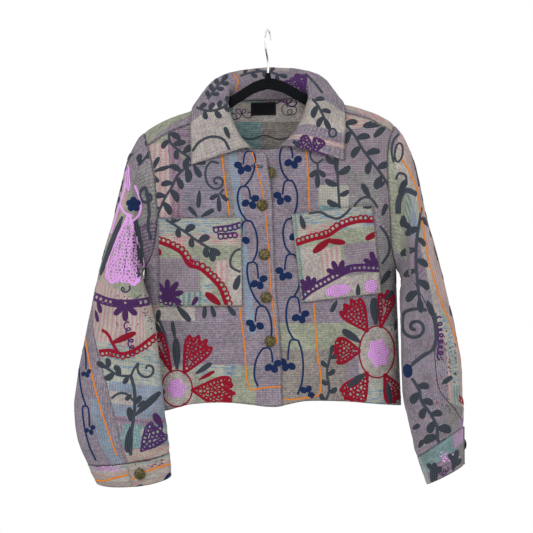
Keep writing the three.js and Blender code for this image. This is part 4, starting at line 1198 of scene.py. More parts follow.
    def lace(self, apex, angle, length, spread, colour="crimson", tips=4, width=3.2, mesh=7.6):
        """A fan with a pointed edge, filled with small rings."""
        apex = np.asarray(apex, float)
        edge = [apex]
        for k in range(2 * tips + 1):
            turn = angle - spread / 2 + spread * k / (2 * tips)
            reach = length * (1.0 if k % 2 else 0.82)
            edge.append(apex + heading(turn) * reach * (1 - 0.12 * abs(k / tips - 1)))
        self.line([*edge, apex], colour, width, step=1.8)
        at = mesh * 1.5
        while at < length * 0.9:
            room = math.radians(spread * 0.8) * at
            count = max(1, round(room / mesh))
            for k in range(count):
                turn = angle + (0 if count == 1 else (k / (count - 1) - 0.5) * spread * 0.74)
                size = mesh * self.random.uniform(0.86, 1.12)
                way = heading(turn + self.random.uniform(-2, 2))
                spot = apex + way * (at + self.random.uniform(-0.8, 0.8))
                self.ring(spot, size, size * self.random.uniform(0.8, 1.1), colour, mesh * 0.5, turn)
            at += mesh * 0.92

    def loops(self, points, colour, size=8.0, width=2.8, pitch=0.46):
        """A line that loops over itself."""
        path = flow(points, 1.0)
        length = lengths(path)
        at = np.arange(0, length[-1], 1.0)
        centre = np.stack([np.interp(at, length, path[:, 0]), np.interp(at, length, path[:, 1])], axis=1)
        turn = at / (size * pitch) * 2 * np.pi * 0.5
        wobble = 1 + 0.18 * np.sin(turn * 0.37)
        curl = oval(turn) * (size * 0.5 * wobble)[:, None]
        self.line(centre + curl, colour, width, step=1.5, lift=0.6)

    def specks(self, area, colour, count, size=3.0, width=1.5, angle=0.0):
        """Loose running stitches over an area: left, right, bottom and top."""
        left, right, bottom, top = area
        for _ in range(count):
            spot = np.array([self.random.uniform(left, right), self.random.uniform(bottom, top)])
            turn = heading(angle + self.random.uniform(-14, 14))
            way = turn * size * self.random.uniform(0.7, 1.3) / 2
            self.line([spot - way, spot + way], colour, width, lift=0.4)

    def sew(self):
        """Lays the motifs on the cloth and makes the piece."""
        if not self.count:
            return None
        a, b, depth, start, toward = self.view
        flat = np.concatenate(self.flat)
        lift = np.concatenate(self.lift)
        places = np.zeros((len(flat), 3))
        found = np.zeros(len(flat), bool)
        way = Vector((0, 0, 0))
        way[depth] = toward
        origin = Vector((0, 0, 0))
        origin[depth] = start * MM
        tree = tree_of(*self.cloths)
        for i, (p, q) in enumerate(flat):
            origin[a] = p * MM
            origin[b] = q * MM
            hit, normal, _, _ = tree.ray_cast(origin, way)
            if hit is None:
                continue
            facing = normal.dot(way)
            if abs(facing) < 0.12:
                continue
            if facing > 0:
                normal = -normal
            places[i] = (hit + normal * (lift[i] * MM)) / MM
            found[i] = True
        faces = np.concatenate(self.faces)
        corners = places[faces]
        longest = np.linalg.norm(corners - np.roll(corners, 1, axis=1), axis=2).max(axis=1)
        good = found[faces].all(axis=1) & (longest < 9.0)
        faces, slots = faces[good], np.concatenate(self.slots)[good]
        if not len(faces):
            return None
        corners = places[faces]
        facing = np.cross(corners[:, 1] - corners[:, 0], corners[:, 2] - corners[:, 0])[:, depth] * toward
        faces[facing > 0] = faces[facing > 0][:, ::-1]
        used = np.unique(faces)
        renumber = np.zeros(len(places), int)
        renumber[used] = np.arange(len(used))
        maps = {"stitches": np.concatenate(self.map)[used] * MM}
        finishes = [finish_of("thread_" + colour, chain_stitch, colour) for colour in self.colours]
        piece = mesh_piece(self.name, places[used], renumber[faces], maps, finishes, slots)
        return piece


MATERIALS = {}
PIECES = {}
TREES = {}
CUTS = {}


def tree_of(*names):
    """The faces of some cloth pieces, for laying threads on them."""
    if names not in TREES:
        places, faces = [], []
        for name in names:
            mesh = PIECES[name].data
            start = len(places)
            places.extend(tuple(v.co) for v in mesh.vertices)
            faces.extend([start + i for i in p.vertices] for p in mesh.polygons)
        TREES[names] = BVHTree.FromPolygons(places, faces)
    return TREES[names]


def finish_of(name, make, *given):
    """A finish by name, made the first time that it is asked for."""
    if name not in MATERIALS:
        MATERIALS[name] = make(*given)
    return MATERIALS[name]


def seen(tone, left, right, top, bottom, *lean):
    """A patch of a front, from the photograph's pixels."""
    (x0, z0), (x1, z1) = photo((left, bottom), (right, top))
    return tone, x0, x1, z0, z1, *lean


# Patches of each piece: tone, left, right, bottom, top and any lean, on its own map in millimetres.
FRONT_PATCHES = {
    "right": (
        seen("slub", 182, 226, 146, 224), seen("grey", 226, 238, 146, 224),
        seen("olive", 128, 196, 112, 148, -25), seen("mauve", 175, 192, 121, 150, -8),
        seen("pink", 146, 172, 144, 218), seen("plum", 170, 182, 128, 220, 3),
        # The darker mauve patch here is painted shade beside the armhole.
        seen("dusk", 136, 156, 182, 224), seen("blue", 238.5, 246.5, 150, 334, 6.3),
        seen("cream", 158, 196, 303, 320), seen("blush", 144, 161, 305, 357),
        seen("streaks", 144, 164, 355, 410), seen("olive", 196, 256, 364, 410),
        seen("streaks", 197, 242, 363, 375), seen("cream", 162, 196, 366, 404),
    ),
    "left": (
        seen("plaid", 333, 396, 110, 212), seen("blush", 330, 398, 98, 127, 10),
        seen("grey", 346, 380, 172, 214), seen("mauve", 321, 338, 154, 182),
        seen("checked", 318, 348, 186, 216), seen("teal", 318, 341, 206, 216),
        seen("grey", 376, 398, 214, 330), seen("beige", 279, 346, 346, 410),
        seen("olive", 276, 360, 322, 348), seen("cream", 358, 396, 326, 380),
        seen("streaks", 345, 398, 379, 410),
    ),
}
LINING_PATCHES = (
    ("teal", -75, -10, -205, -100), ("beige", -10, 54, -190, -90),
    ("cream", -60, 60, -150, -118), ("warm", 54, 140, -330, -100),
    ("streaks", -200, -75, -300, -120), ("olive", -120, 30, -420, -205),
    ("blush", 30, 200, -520, -330), ("grey", -210, -60, -640, -420),
)
BACK_PATCHES = (
    ("olive", -215, -70, -205, -130, 12), ("pink", -70, 60, -190, -80),
    ("blush", 70, 215, -200, -120, -10), ("plum", -30, -8, -330, -190),
    ("plaid", 60, 205, -340, -205), ("cream", -196, -120, -340, -206),
    ("mauve", -120, -72, -300, -206), ("teal", 96, 200, -372, -340),
    ("blue", -58, -45, -630, -190, 4), ("grey", -44, 60, -430, -330),
    ("streaks", -215, -62, -430, -345), ("warm", 60, 150, -520, -372),
    ("olive", -40, 70, -560, -440), ("pink", 150, 222, -560, -372),
    ("beige", -205, -110, -560, -435), ("checked", -110, -62, -520, -440),
    ("blush", -60, 90, -640, -570), ("cream", 92, 220, -640, -566),
    ("tealed", -215, -120, -640, -575),
)
SLEEVE_PATCHES = {
    ("right", "upper"): (
        # The darker mauve patch at the armhole is painted shade.
        ("dusk", 118, 215, -68, 0), ("grey", 60, 118, -60, 0), ("olive", -80, 215, -252, -66),
        ("blush", 30, 62, -252, -80), ("cream", 150, 215, -260, -150),
        ("pink", -40, 215, -335, -250), ("checked", 150, 215, -330, -275),
        ("streaks", -40, 215, -446, -333), ("blue", 84, 215, -444, -388),
        ("cream", 60, 120, -424, -404), ("mauve", 60, 215, -458, -444),
        ("teal", 104, 215, -512, -458), ("tealed", 126, 200, -505, -466),
        ("blush", 60, 215, -560, -514), ("teal", 34, 50, -512, -205, 22.5),
    ),
    ("right", "under"): (
        ("cream", 300, 340, -480, -30), ("teal", 230, 300, -200, -90),
        ("mauve", 200, 290, -90, 0), ("olive", 205, 280, -330, -215),
        ("pink", 290, 360, -300, -180), ("streaks", 210, 300, -440, -335),
        ("blush", 205, 260, -560, -450), ("blue", 462, 480, -560, -420, 8),
    ),
    ("left", "upper"): (
        ("olive", 52, 150, -95, 0), ("cream", -80, 78, -340, -18),
        ("pink", -80, 62, -520, -20, 4), ("tealed", 78, 118, -100, -48),
        ("streaks", 62, 92, -150, -96), ("plaid", 96, 170, -190, -96),
        ("blue", 74, 100, -150, -108), ("mauve", 84, 112, -250, -160),
        ("streaks", 34, 62, -470, -300, -3), ("tealed", 30, 56, -462, -424),
        ("grey", 34, 96, -548, -462, 24), ("lilac", -30, 40, -560, -512),
    ),
    ("left", "under"): (
        ("cream", 330, 380, -330, 0), ("warm", 200, 330, -120, 0),
        ("plum", 240, 262, -330, -100), ("streaks", 262, 400, -260, -130),
        ("olive", 200, 300, -420, -330), ("teal", 300, 420, -430, -330),
        ("blush", 200, 420, -520, -440),
    ),
}
CUFF_PATCHES = {
    "right": (
        ("streaks", -10, 390, -712, -690), ("blush", -10, 390, -738, -722),
        ("warm", -10, 390, -790, -752), ("lilac", 300, 340, -716, -690),
        ("blush", 0, 90, -780, -756),
    ),
    "left": (
        ("teal", 190, 300, -745, -690), ("mauve", 230, 290, -775, -735),
        ("lilac", 290, 390, -730, -690), ("streaks", 100, 200, -780, -690),
        ("mauve", 0, 90, -780, -690), ("grey", 300, 360, -790, -732),
    ),
}
COLLAR_PATCHES = (
    ("ground", -186, 176, -5, 140), ("warm", -60, 40, 66, 140), ("plum", -30, -12, 60, 140),
    ("mauve", 80, 110, 60, 140), ("ground", 238, 306, -5, 140, 6), ("pink", 262, 276, 40, 140, 6),
)
POCKET_PATCHES = {
    "pocket_right": (
        ("streaks", -76, 74, 44, 78), ("blush", -76, 74, 27, 46), ("plaid", -76, 0, -51, 7),
        ("tealed", -64, 9, -78, -50), ("streaks", 4, 20, -78, -28), ("pink", 26, 48, -34, 2),
        ("cream", 46, 74, -78, -10),
    ),
    "pocket_left": (
        ("streaks", -70, 70, 38, 80), ("blush", -70, 6, 36, 52), ("cream", -62, -28, -78, 16),
        ("pink", -27, 6, -64, 12), ("plaid", 12, 72, -38, 14), ("cream", -26, 70, -80, -40),
        ("tealed", -72, -59, -80, 80),
    ),
}


def cut_of(outer):
    """A cloth grid's flat width, length and area in metres."""
    down = np.linalg.norm(np.diff(outer, axis=0), axis=-1).sum(axis=0).max()
    across = np.linalg.norm(np.diff(outer, axis=1), axis=-1).sum(axis=1).max()
    a, b, c, d = outer[:-1, :-1], outer[:-1, 1:], outer[1:, 1:], outer[1:, :-1]
    area = np.linalg.norm(np.cross(c - a, d - b), axis=-1).sum() / 2
    return across * MM, down * MM, area * MM * MM


def patchwork(title, *given):
    """The quilted finish of a piece."""
    return finish_of(title, quilted, title + "_patchwork", *given)


def cloth_piece(title, grids, plane, finishes):
    """A cloth piece in place of its solid."""
    name = title + "_cloth"
    piece = shell(name, *grids, plane, finishes)
    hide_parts(title)
    PIECES[name] = piece
    CUTS[name] = cut_of(grids[0])


def declare(name, stitches=()):
    """Works out a cloth piece's flat width, length and area, rounded; nothing further is done with them.
    """
    *flat, area = CUTS[name]
    area = min(area, flat[0] * flat[1])
    flat = tuple(round(side, 3) for side in flat)
    area = min(round(area, 4), flat[0] * flat[1])


def cloth_sizes():
    """The user's cloth sizes, in millimetres."""
    cloth = bpy.context.scene.jacket_cloth
    return cloth.body / MM, cloth.collar / MM, cloth.cuff / MM


def build_front(side):
    """One front."""
    lapping = side is RIGHT

    def ahead(p):
        p[..., 1] = np.minimum(p[..., 1], -SEAM_GAP / 2)
        return p

    grid = refined(front_pairs(side), 3.6)
    place = partial(front_point, lapping=lapping)
    seed = 11 if lapping else 12
    hems = (("bottom", 20),)
    grids = dressed(place, grid, cloth_sizes()[0], 1, 0.05, 0.05, grid, seed, hems, ahead)
    title = f"front_{side.name}"
    outside = patchwork(title, "ground", FRONT_PATCHES[side.name])
    cloth_piece(title, grids, grid, [outside, patchwork("lining", "grey", LINING_PATCHES)])


def build_back():
    """The back."""
    grid = refined(back_pairs(), 3.8)
    plane = np.stack([grid[..., 0], ridge(grid[..., 0]) - grid[..., 1]], axis=-1)
    grids = dressed(back_point, grid, cloth_sizes()[0], 1, 0.05, 0.05, plane, 13, (("bottom", 20),))
    outside = patchwork("back", "ground", BACK_PATCHES)
    cloth_piece("back", grids, plane, [outside, patchwork("lining", "grey", LINING_PATCHES)])


def build_sleeve(side, part):
    """The upper or under piece of a sleeve."""
    upper = part == "upper"
    columns = 70 if upper else 40
    t = np.concatenate([np.linspace(0, 1, 14)[:-1], np.linspace(1, 10 - side.cuff_gap, 150)])
    first = between(side.rings, "t", "seam_a" if upper else "seam_b", t)
    second = between(side.rings, "t", "seam_b" if upper else "seam_a", t) + (0 if upper else 360)
    angles = mix(first[:, None], second[:, None], np.linspace(0, 1, columns)[None])
    grid = np.stack(np.broadcast_arrays(t[:, None], angles), axis=-1)
    plane = np.stack([grid[..., 1] * 1.1, -grid[..., 0] * 55], axis=-1)
    place, wall = partial(sleeve_point, side), partial(underarm_turn, side)
    seed = 14 + (side.sign > 0)
    grids = dressed(place, grid, cloth_sizes()[0], -side.sign, 0.002, 0.2, plane, seed, wall_turn=wall)
    title = f"sleeve_{side.name}_{part}"
    finish = patchwork(title, "ground", SLEEVE_PATCHES[side.name, part], True, 3.9, 0.35)
    cloth_piece(title, grids, plane, [finish])


def build_cuff(side):
    """A cuff."""
    t = np.linspace(10 + side.cuff_gap, 11, 22)
    w = np.linspace(0, 376, 120)
    grid = np.stack(np.meshgrid(t, w, indexing="ij"), axis=-1)
    plane = np.stack([grid[..., 1], -grid[..., 0] * 70], axis=-1)
    place = partial(cuff_point, side)
    turn = -side.sign * side.cuff_turn
    grids = dressed(place, grid, cloth_sizes()[2], turn, 0.002, 0.2, plane, 16)
    title = f"cuff_{side.name}"
    ground = "cream" if side is RIGHT else "ground"
    finish = patchwork(title, ground, CUFF_PATCHES[side.name], False, 3.6, 0.5)
    cloth_piece(title, grids, plane, [finish])


def build_collar():
    """The collar."""
    s, v = np.linspace(-1, 1, 200), np.linspace(0, 1, 48)
    grid = np.stack(np.meshgrid(s, v, indexing="ij"), axis=-1)
    plane = np.stack([grid[..., 0] * 300, grid[..., 1] * 130], axis=-1)
    grids = dressed(collar_point, grid, cloth_sizes()[1], 1, 0.003, 0.005, plane, 17)
    finish = patchwork("collar", "cream", COLLAR_PATCHES, False, 3.7, 0.6)
    cloth_piece("collar", grids, plane, [finish])


def build_pocket(title):
    """A patch pocket."""
    spec = POCKETS[title]
    u = np.linspace(-0.5, 0.5, 44) * spec["width"]
    v = np.linspace(0.5, -0.5, 46) * spec["height"]
    grid = np.stack(np.meshgrid(v, u, indexing="ij")[::-1], axis=-1)
    place = partial(pocket_point, title)
    grids = dressed(place, grid, cloth_sizes()[0], 1, 0.05, 0.05, grid, 18, (("top", 20),))
    cloth_piece(title, grids, grid, [patchwork(title, "olive", POCKET_PATCHES[title])])


def build_label():
    """The bare label inside the neck."""
    x, top, width, height = (LABEL[key] for key in ("x", "top", "width", "height"))
    rows, columns = np.linspace(0, 1, 16), np.linspace(-0.5, 0.5, 28)
    grid = np.stack(np.meshgrid(top + rows * height, x + columns * width, indexing="ij")[::-1], axis=-1)
    u, v = grid[..., 0], grid[..., 1]
    normal = normal_of(back_point, u, v, 0.05, 0.05, 1)
    outer = back_point(u, v) - normal * (CLOTH + LAP_GAP * 0.9)
    inner = outer - normal * LABEL["thick"]
    edges = rim(edge_distance(outer))
    grids = (*rolled(outer, inner, 0.3), edges)
    cloth_piece("neck_label", grids, grid, [finish_of("label", woven_tape)])


def woven_tape():
    """Black woven tape with a stitched edge."""
    finish = Finish("label_tape")
    u, v = finish.map("panel")
    side, end = finish.map("edges")
    near = finish.math("MINIMUM", side, end)
    warp = abs(finish.fold(u / 0.7 + v / 1.4) - 0.5)
    weft = abs(finish.fold(v / 0.8) - 0.5)
    cloud = finish.noise(finish.vector(u, v), 0.5, 3.0)
    weave = warp + weft
    line = finish.step(abs(near - 1.6), 0.6, 0.2)
    stitch = line * finish.step(abs(finish.fold((u + v) / 2.6) - 0.5), 0.36, 0.26)
    colour = finish.blend(weave * 0.5 + cloud * 0.3, rgb(6, 7, 9), rgb(22, 22, 26))
    colour = finish.blend(stitch * 0.7, colour, rgb(46, 48, 54))
    return finish.surface(colour, 0.85, weave * 0.08 - stitch * 0.1, 0.6, Specular_IOR_Level=0.1)


def aged_brass():
    """Domed buttons of dull brass, with dark hollows."""
    finish = Finish("aged_brass")
    place = finish.place()
    fine = finish.noise(place, 0.9, 4.0, 0.65)
    broad = finish.noise(place, 0.28, 2.0)
    grain = finish.noise(place, 3.2, 2.0)
    tone = bpy.context.scene.jacket_fittings.brass
    base, dark = (*tone, 1.0), (*[part * 0.22 for part in tone], 1.0)
    colour = finish.blend(finish.step(fine, 0.36, 0.62), dark, base)
    colour = finish.blend(finish.step(broad, 0.5, 0.68) * 0.35, colour, rgb(150, 138, 100))
    rough = 0.34 + 0.3 * finish.step(fine, 0.4, 0.66)
    return finish.surface(colour, rough, fine * 0.22 + grain * 0.05, 0.8, Metallic=0.92)


def flocking():
    """Black velvet flock."""
    finish = Finish("flocking")
    place = finish.place()
    fibre = finish.noise(place, 5.5, 3.0, 0.7)
    cloud = finish.noise(place, 0.12, 2.0)
    dark = (*bpy.context.scene.jacket_fittings.hanger, 1.0)
    light = tuple(part * 2.2 for part in dark[:3]) + (1.0,)
    colour = finish.blend(finish.step(fibre, 0.42, 0.72) * (0.35 + 0.4 * cloud), dark, light)
    return finish.surface(colour, 0.96, fibre * 0.12, 0.7, Specular_IOR_Level=0.12)


def bright_wire():
    """Polished wire, with faint draw marks."""
    finish = Finish("bright_wire")
    place = finish.place()
    marks = finish.noise(place, 1.6, 3.0, 0.6)
    broad = finish.noise(place, 0.1, 2.0)
    colour = finish.blend(finish.step(broad, 0.4, 0.6), rgb(222, 222, 224), rgb(198, 200, 204))
    rough = 0.14 + 0.14 * finish.step(marks, 0.45, 0.7)
    return finish.surface(colour, rough, marks * 0.01, 0.3, Metallic=1.0)


def pale_floor():
    """A plain pale floor."""
    finish = Finish("floor")
    place = finish.place()
    tone = bpy.context.scene.jacket_stage.floor
    dust = finish.noise(place, 0.004, 2.0)
    colour = finish.blend(dust * 0.1, (*tone, 1.0), rgb(236, 236, 234))
    return finish.surface(colour, 0.7)


def refinish(finish, *nodes):
    """Gives solids that stay as they are their finish."""
    for node in nodes:
        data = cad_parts[node].data
        data.materials.clear()
        data.materials.append(finish)


# The stage, in metres. A lamp is its name, place, size and share of the light.
FLOOR_RADIUS = 5.0
FLOOR_HEIGHT = -1.6
LAMP_AIM = Vector((0, 0, -0.4))
LAMPS = (("key", (-1.5, -2.9, 1.5), 1.8, 1.0), ("fill", (2.2, -2.6, 0.4), 2.4, 0.35))
CAMERA_PLACE = (-0.0025, -4.0, -0.3956)
CAMERA_REACH = 40


def build_stage():
    """Floor, light and camera."""
    stage = bpy.context.scene.jacket_stage
    world = bpy.data.worlds.new("studio")
    bpy.context.scene.world = world
    world.use_nodes = True
    backdrop = world.node_tree.nodes["Background"]
    backdrop.inputs["Color"].default_value = (1, 1, 1, 1)
    backdrop.inputs["Strength"].default_value = 1.0
    angles = np.linspace(0, 2 * np.pi, 64, endpoint=False)
    places = [(FLOOR_RADIUS * math.cos(a), FLOOR_RADIUS * math.sin(a), FLOOR_HEIGHT) for a in angles]
    mesh = bpy.data.meshes.new("floor")
    mesh.from_pydata(places, [], [tuple(range(len(places)))])
    mesh.materials.append(finish_of("floor", pale_floor))
    floor = bpy.data.objects.new("floor", mesh)
    collection().objects.link(floor)
    for name, place, size, share in LAMPS:
        light = bpy.data.lights.new(name, "AREA")
        light.shape = "DISK"
        light.size = size
        light.energy = stage.light * share
        lamp = bpy.data.objects.new(name, light)
        lamp.location = place
        lamp.rotation_euler = (LAMP_AIM - Vector(place)).to_track_quat("-Z", "Y").to_euler()
        collection().objects.link(lamp)
    camera = bpy.data.objects.new("camera", bpy.data.cameras.new("camera"))
    camera.data.lens = stage.lens
    camera.data.clip_end = CAMERA_REACH
    camera.location = CAMERA_PLACE
    camera.rotation_euler = (math.pi / 2, 0, 0)
    collection().objects.link(camera)
    bpy.context.scene.camera = camera
    bpy.context.scene.view_settings.view_transform = "Standard"


def at(x, y):
    """One place on the front, from the photograph's pixels."""
    return photo((x, y))[0]


def leaves(needle, rows, colour="slate", club=1.3):
    """Leaves, each from foot to tip in the photograph's pixels, then its width in millimetres."""
    for x0, y0, x1, y1, width in rows:
        needle.leaf(at(x0, y0), at(x1, y1), width, colour, club)


def vine(needle, joints, end, sway=13.0, size=12.4):
    """A navy vine: at each joint a long leg to one side and a clover to the other."""
    places = [np.asarray(joint[:2], float) for joint in joints] + [np.asarray(end, float)]
    for k, joint in enumerate(joints):
        top, foot = places[k], places[k + 1]
        out = np.array([joint[2] * sway, 0.0])
        down = np.array([0.0, foot[1] - top[1]])
        leg = [top, top + out * 0.62 - (0, 3), mix(top, foot, 0.36) + out]
        needle.line([*leg, mix(top, foot, 0.76) + out * 0.7, foot], "navy", 3.7)
        leg = [top, top - out * 0.42 - (0, 3), top - out * 0.66 + down * 0.24]
        needle.line([*leg, top - out * 0.7 + down * 0.38], "navy", 3.4)
        needle.clover(top - out * 0.7 + down * 0.42, -90 - 25 * joint[2], size)


def crimson_flower(needle, centre, size, fans, blob=(0, 0)):
    """A lilac blob in a crimson ring, and fans: each its angle, length, spread and tips."""
    wide, tall = size
    centre = np.asarray(centre, float)
    spot = centre + np.asarray(blob)
    needle.disc(spot, wide * 0.62, tall * 0.54, "lilac", 6, 0.13, 10, lift=1.3)
    for turn in range(0, 360, 60):
        way = heading(turn) * np.array([wide, tall]) * 0.17
        needle.ring(spot + way, wide * 0.17, wide * 0.17, "lilac", 2.2)
    needle.ring(centre, wide, tall, "crimson", 3.0)
    for angle, length, spread, tips in fans:
        foot = centre + heading(angle) * np.array([wide, tall]) * 0.47
        needle.lace(foot, angle, length, spread, "crimson", tips, 5.0, 6.6)


def stitch_front_right():
    """The right front: a navy vine, slate branches and a crimson flower."""
    n = Needle("front_right_stitches", ("front_right_cloth",), "front", 21)
    joints = ((249, 152, 1), (245, 187, -1), (247, 221, 1), (253, 262, -1), (261, 305, 1), (267, 346, -1))
    vine(n, [(*at(x, y), side) for x, y, side in joints], at(258, 384))
    n.line(photo((222, 154), (225, 180), (230, 216)), "orange", 3.1)
    n.line(photo((240, 306), (245, 345), (250, 386), (266, 385), (284, 384)), "orange", 3.1)
    n.line(photo((252, 152), (262, 190), (267, 230), (271, 290), (277, 342)), "orange", 2.6)
    n.branch(photo((193, 164), (179, 175), (173, 187), (165, 200), (159, 214)), 8, 24, 4.8, 62, 0.5)
    n.branch(photo((169, 128), (171, 143), (181, 152), (190, 159), (195, 167)), 7, 22, 4.8, 62, 0.52)
    n.line(photo((139, 181), (147, 176), (156, 172), (166, 169)), "slate", 4.2)
    tail = photo((208, 184), (206, 172), (211, 163), (219, 164))
    n.spiral(at(217.5, 182.5), 13, 1.35, -130, 4.2, -1, tail)
    n.line(photo((224, 190), (220, 195)), "slate", 4.2)
    rows = (
        (151, 173, 160, 157, 9), (154, 172, 171, 167, 8), (151, 175, 160, 183, 9),
        (200, 191, 199, 209, 9), (198, 217, 189, 207, 8), (202, 217, 215, 210, 9),
        (219, 195, 210, 200, 9), (221, 195, 229, 202, 9), (219, 196, 220, 213, 9),
        (156, 128, 173, 119, 9), (184, 118, 191, 112, 8), (140, 148, 133, 150, 6),
    )
    leaves(n, rows)
    n.line(photo((137, 148), (142, 158), (139, 163), (134, 152)), "slate", 3.6)
    n.line(photo((148, 149), (146, 160), (142, 170), (139, 181)), "slate", 3.8)
    n.line(photo((150, 214), (147, 204), (148, 194), (153, 188), (157, 194)), "slate", 4.6)
    rows = (
        (178, 306, 192, 321, 12), (206, 305, 205, 318, 9), (212, 305, 216, 317, 9),
        (228, 305, 236, 315, 10), (158, 322, 160, 309, 9), (163, 334, 155, 322, 9),
        (176, 338, 173, 320, 8),
    )
    leaves(n, rows)
    n.line(photo((160, 320), (165, 332), (168, 344)), "slate", 4.8)
    fans = ((62, 70, 50, 4), (-4, 72, 56, 5), (112, 76, 22, 2), (-62, 36, 60, 3))
    crimson_flower(n, at(178, 387), (52, 60), fans, (-1, 0))
    leaves(n, ((178, 368, 177, 337, 15), (197, 372, 213, 361, 10), (188, 403, 193, 410, 8)))
    leaves(n, ((160, 400, 165, 388, 8), (200, 378, 216, 369, 7)), "crimson")
    n.ring(at(257, 167.5), 20, 3.4, "ink", 1.5, turn=-6)
    n.specks((-180, -160, -330, -220), "lilac", 12, 3.2)
    return n.sew()


def stitch_front_left():
    """The left front: a navy vine, slate branches and a crimson flower."""
    n = Needle("front_left_stitches", ("front_left_cloth",), "front", 22)
    joints = ((287, 146, -1), (288, 181, 1), (291, 219, -1), (290, 254, 1), (294, 296, -1), (293, 338, 1))
    vine(n, [(*at(x, y), side) for x, y, side in joints], at(297, 392))
    n.clover(at(306, 391), 60, 11)
    n.line(photo((306, 150), (308, 180), (309, 214)), "orange", 3.1)
    n.line(photo((313, 302), (316, 345), (319, 390), (300, 396), (284, 397)), "orange", 3.1)
    stem = photo((337, 118), (352, 133), (362, 150), (374, 166), (384, 180), (390, 191))
    n.branch(stem, 9, 25, 5.2, 62, 0.5)
    n.branch(photo((339, 212), (338, 196), (337, 178), (336, 160)), 5, 23, 4.8, 60, 0.48)
    n.line(photo((311, 150), (310, 158), (316, 164), (323, 160)), "slate", 4.0)
    n.line(photo((317, 164), (317.5, 174)), "slate", 4.4)
    rows = (
        (390, 121, 362, 127, 14), (388, 124, 373, 138, 11), (336, 174, 335, 152, 10),
        (317, 171, 309, 178, 10), (318, 171, 325, 178, 10), (317, 173, 317, 189, 10),
        (369, 198, 361, 184, 11), (384, 182, 377, 188, 9), (330, 112, 344, 121, 11),
        (345, 108, 362, 112, 9),
    )
    leaves(n, rows)
    n.line(photo((350, 212), (356, 203), (363, 198), (370, 199), (377, 208)), "slate", 4.6)
    n.line(photo((379, 226), (387, 238), (388, 252), (381, 264)), "slate", 5.0)
    rows = (
        (381, 216, 386, 204, 10), (380, 284, 390, 270, 11), (392, 224, 394, 236, 8),
        (384, 300, 393, 290, 11),
    )
    leaves(n, rows)
    fans = ((124, 62, 54, 4), (78, 64, 34, 3), (178, 46, 74, 4), (236, 60, 58, 4), (296, 54, 50, 4))
    crimson_flower(n, at(376, 351), (60, 86), fans, (3, -2))
    rows = (
        (375, 324, 373, 297, 18), (359, 341, 341, 329, 14), (365, 372, 346, 385, 14),
        (386, 381, 390, 404, 12), (336, 300, 330, 312, 9), (394, 330, 398, 318, 8),
    )
    leaves(n, rows)
    n.branch(photo((322, 404), (328, 388), (326, 370), (330, 352)), 6, 15, 4.8, 54, 0.6)
    n.specks((150, 210, -360, -300), "lilac", 20, 3.2)
    return n.sew()


def stitch_pocket_right():
    """The right pocket: a slate branch, a crimson chain and a purple flower."""
    n = Needle("pocket_right_stitches", ("pocket_right_cloth",), "front", 23)
    n.branch(photo((167, 220), (184, 231), (198, 241), (211, 249)), 6, 20, 5.0, 58, 0.62)
    leaves(n, ((212, 249, 214, 262, 12), (170, 218, 178, 219, 8)))
    chain = photo(
        (156, 241), (170, 246), (182, 253), (190, 265), (200, 268),
        (210, 276), (220, 287), (227, 304)
    )
    n.chain(chain, "crimson", 8.8, 1, 3.2, 7.4)
    n.disc(at(159, 252), 12, 15, "crimson", turn=20)
    leaves(n, ((221, 304, 206, 292, 13),), "crimson", 1.1)
    n.tuft(at(168, 296), 52, 5, 31, "purple", 74, 0.36)
    n.disc(at(167, 297), 22, 19, "purple", 6, 0.1)
    n.chain(photo((157, 293), (166, 299), (174, 301), (184, 306)), "purple", 8.4, -1, 3.2, 4.4)
    n.chain(photo((213, 228), (221, 227), (230, 226), (240, 223)), "purple", 8.6, -1, 3.2, 3.0)
    n.chain(photo((218, 234), (226, 234), (235, 233)), "purple", 8.6, -1, 3.2, 3.0)
    leaves(n, ((193, 305, 199, 296, 9),), "purple")
    n.line(photo((241, 249), (235, 252), (231, 260), (232, 267), (241, 272)), "slate", 4.4)
    leaves(n, ((240, 275, 235, 290, 12),))
    return n.sew()


def stitch_pocket_left():
    """The left pocket: a crimson chain, a purple chain with tufts and lilac fills."""
    n = Needle("pocket_left_stitches", ("pocket_left_cloth",), "front", 24)
    chain = photo((296, 245), (311, 240), (327, 236), (341, 227), (357, 222), (378, 222))
    n.chain(chain, "crimson", 8.6, 1, 3.2, 7.0)
    rows = ((330, 239, 312, 253, 13), (326, 241, 345, 243, 11), (378, 232, 364, 240, 11))
    leaves(n, rows, "crimson", 1.15)
    chain = photo((300, 301), (311, 292), (323, 285), (338, 277), (352, 271), (378, 271))
    n.chain(chain, "purple", 8.4, 1, 3.4, 4.2, double=True)
    n.tuft(at(310, 289), 120, 4, 25, "purple", 50, 0.42)
    n.tuft(at(338, 274), 95, 4, 26, "purple", 66, 0.42)
    n.tuft(at(374, 266), 105, 3, 26, "purple", 44, 0.42)
    n.disc(at(337, 290), 44, 21, "lilac", 7, 0.07, 10)
    n.disc(at(370, 286), 24, 24, "lilac", 5, 0.06)
    leaves(n, ((300, 216, 304, 230, 10), (357, 284, 357, 296, 9), (362, 208, 374, 205, 11)))
    n.line(photo((308, 214), (320, 213), (328, 217), (337, 219), (345, 214), (350, 208)), "slate", 5.0)
    return n.sew()


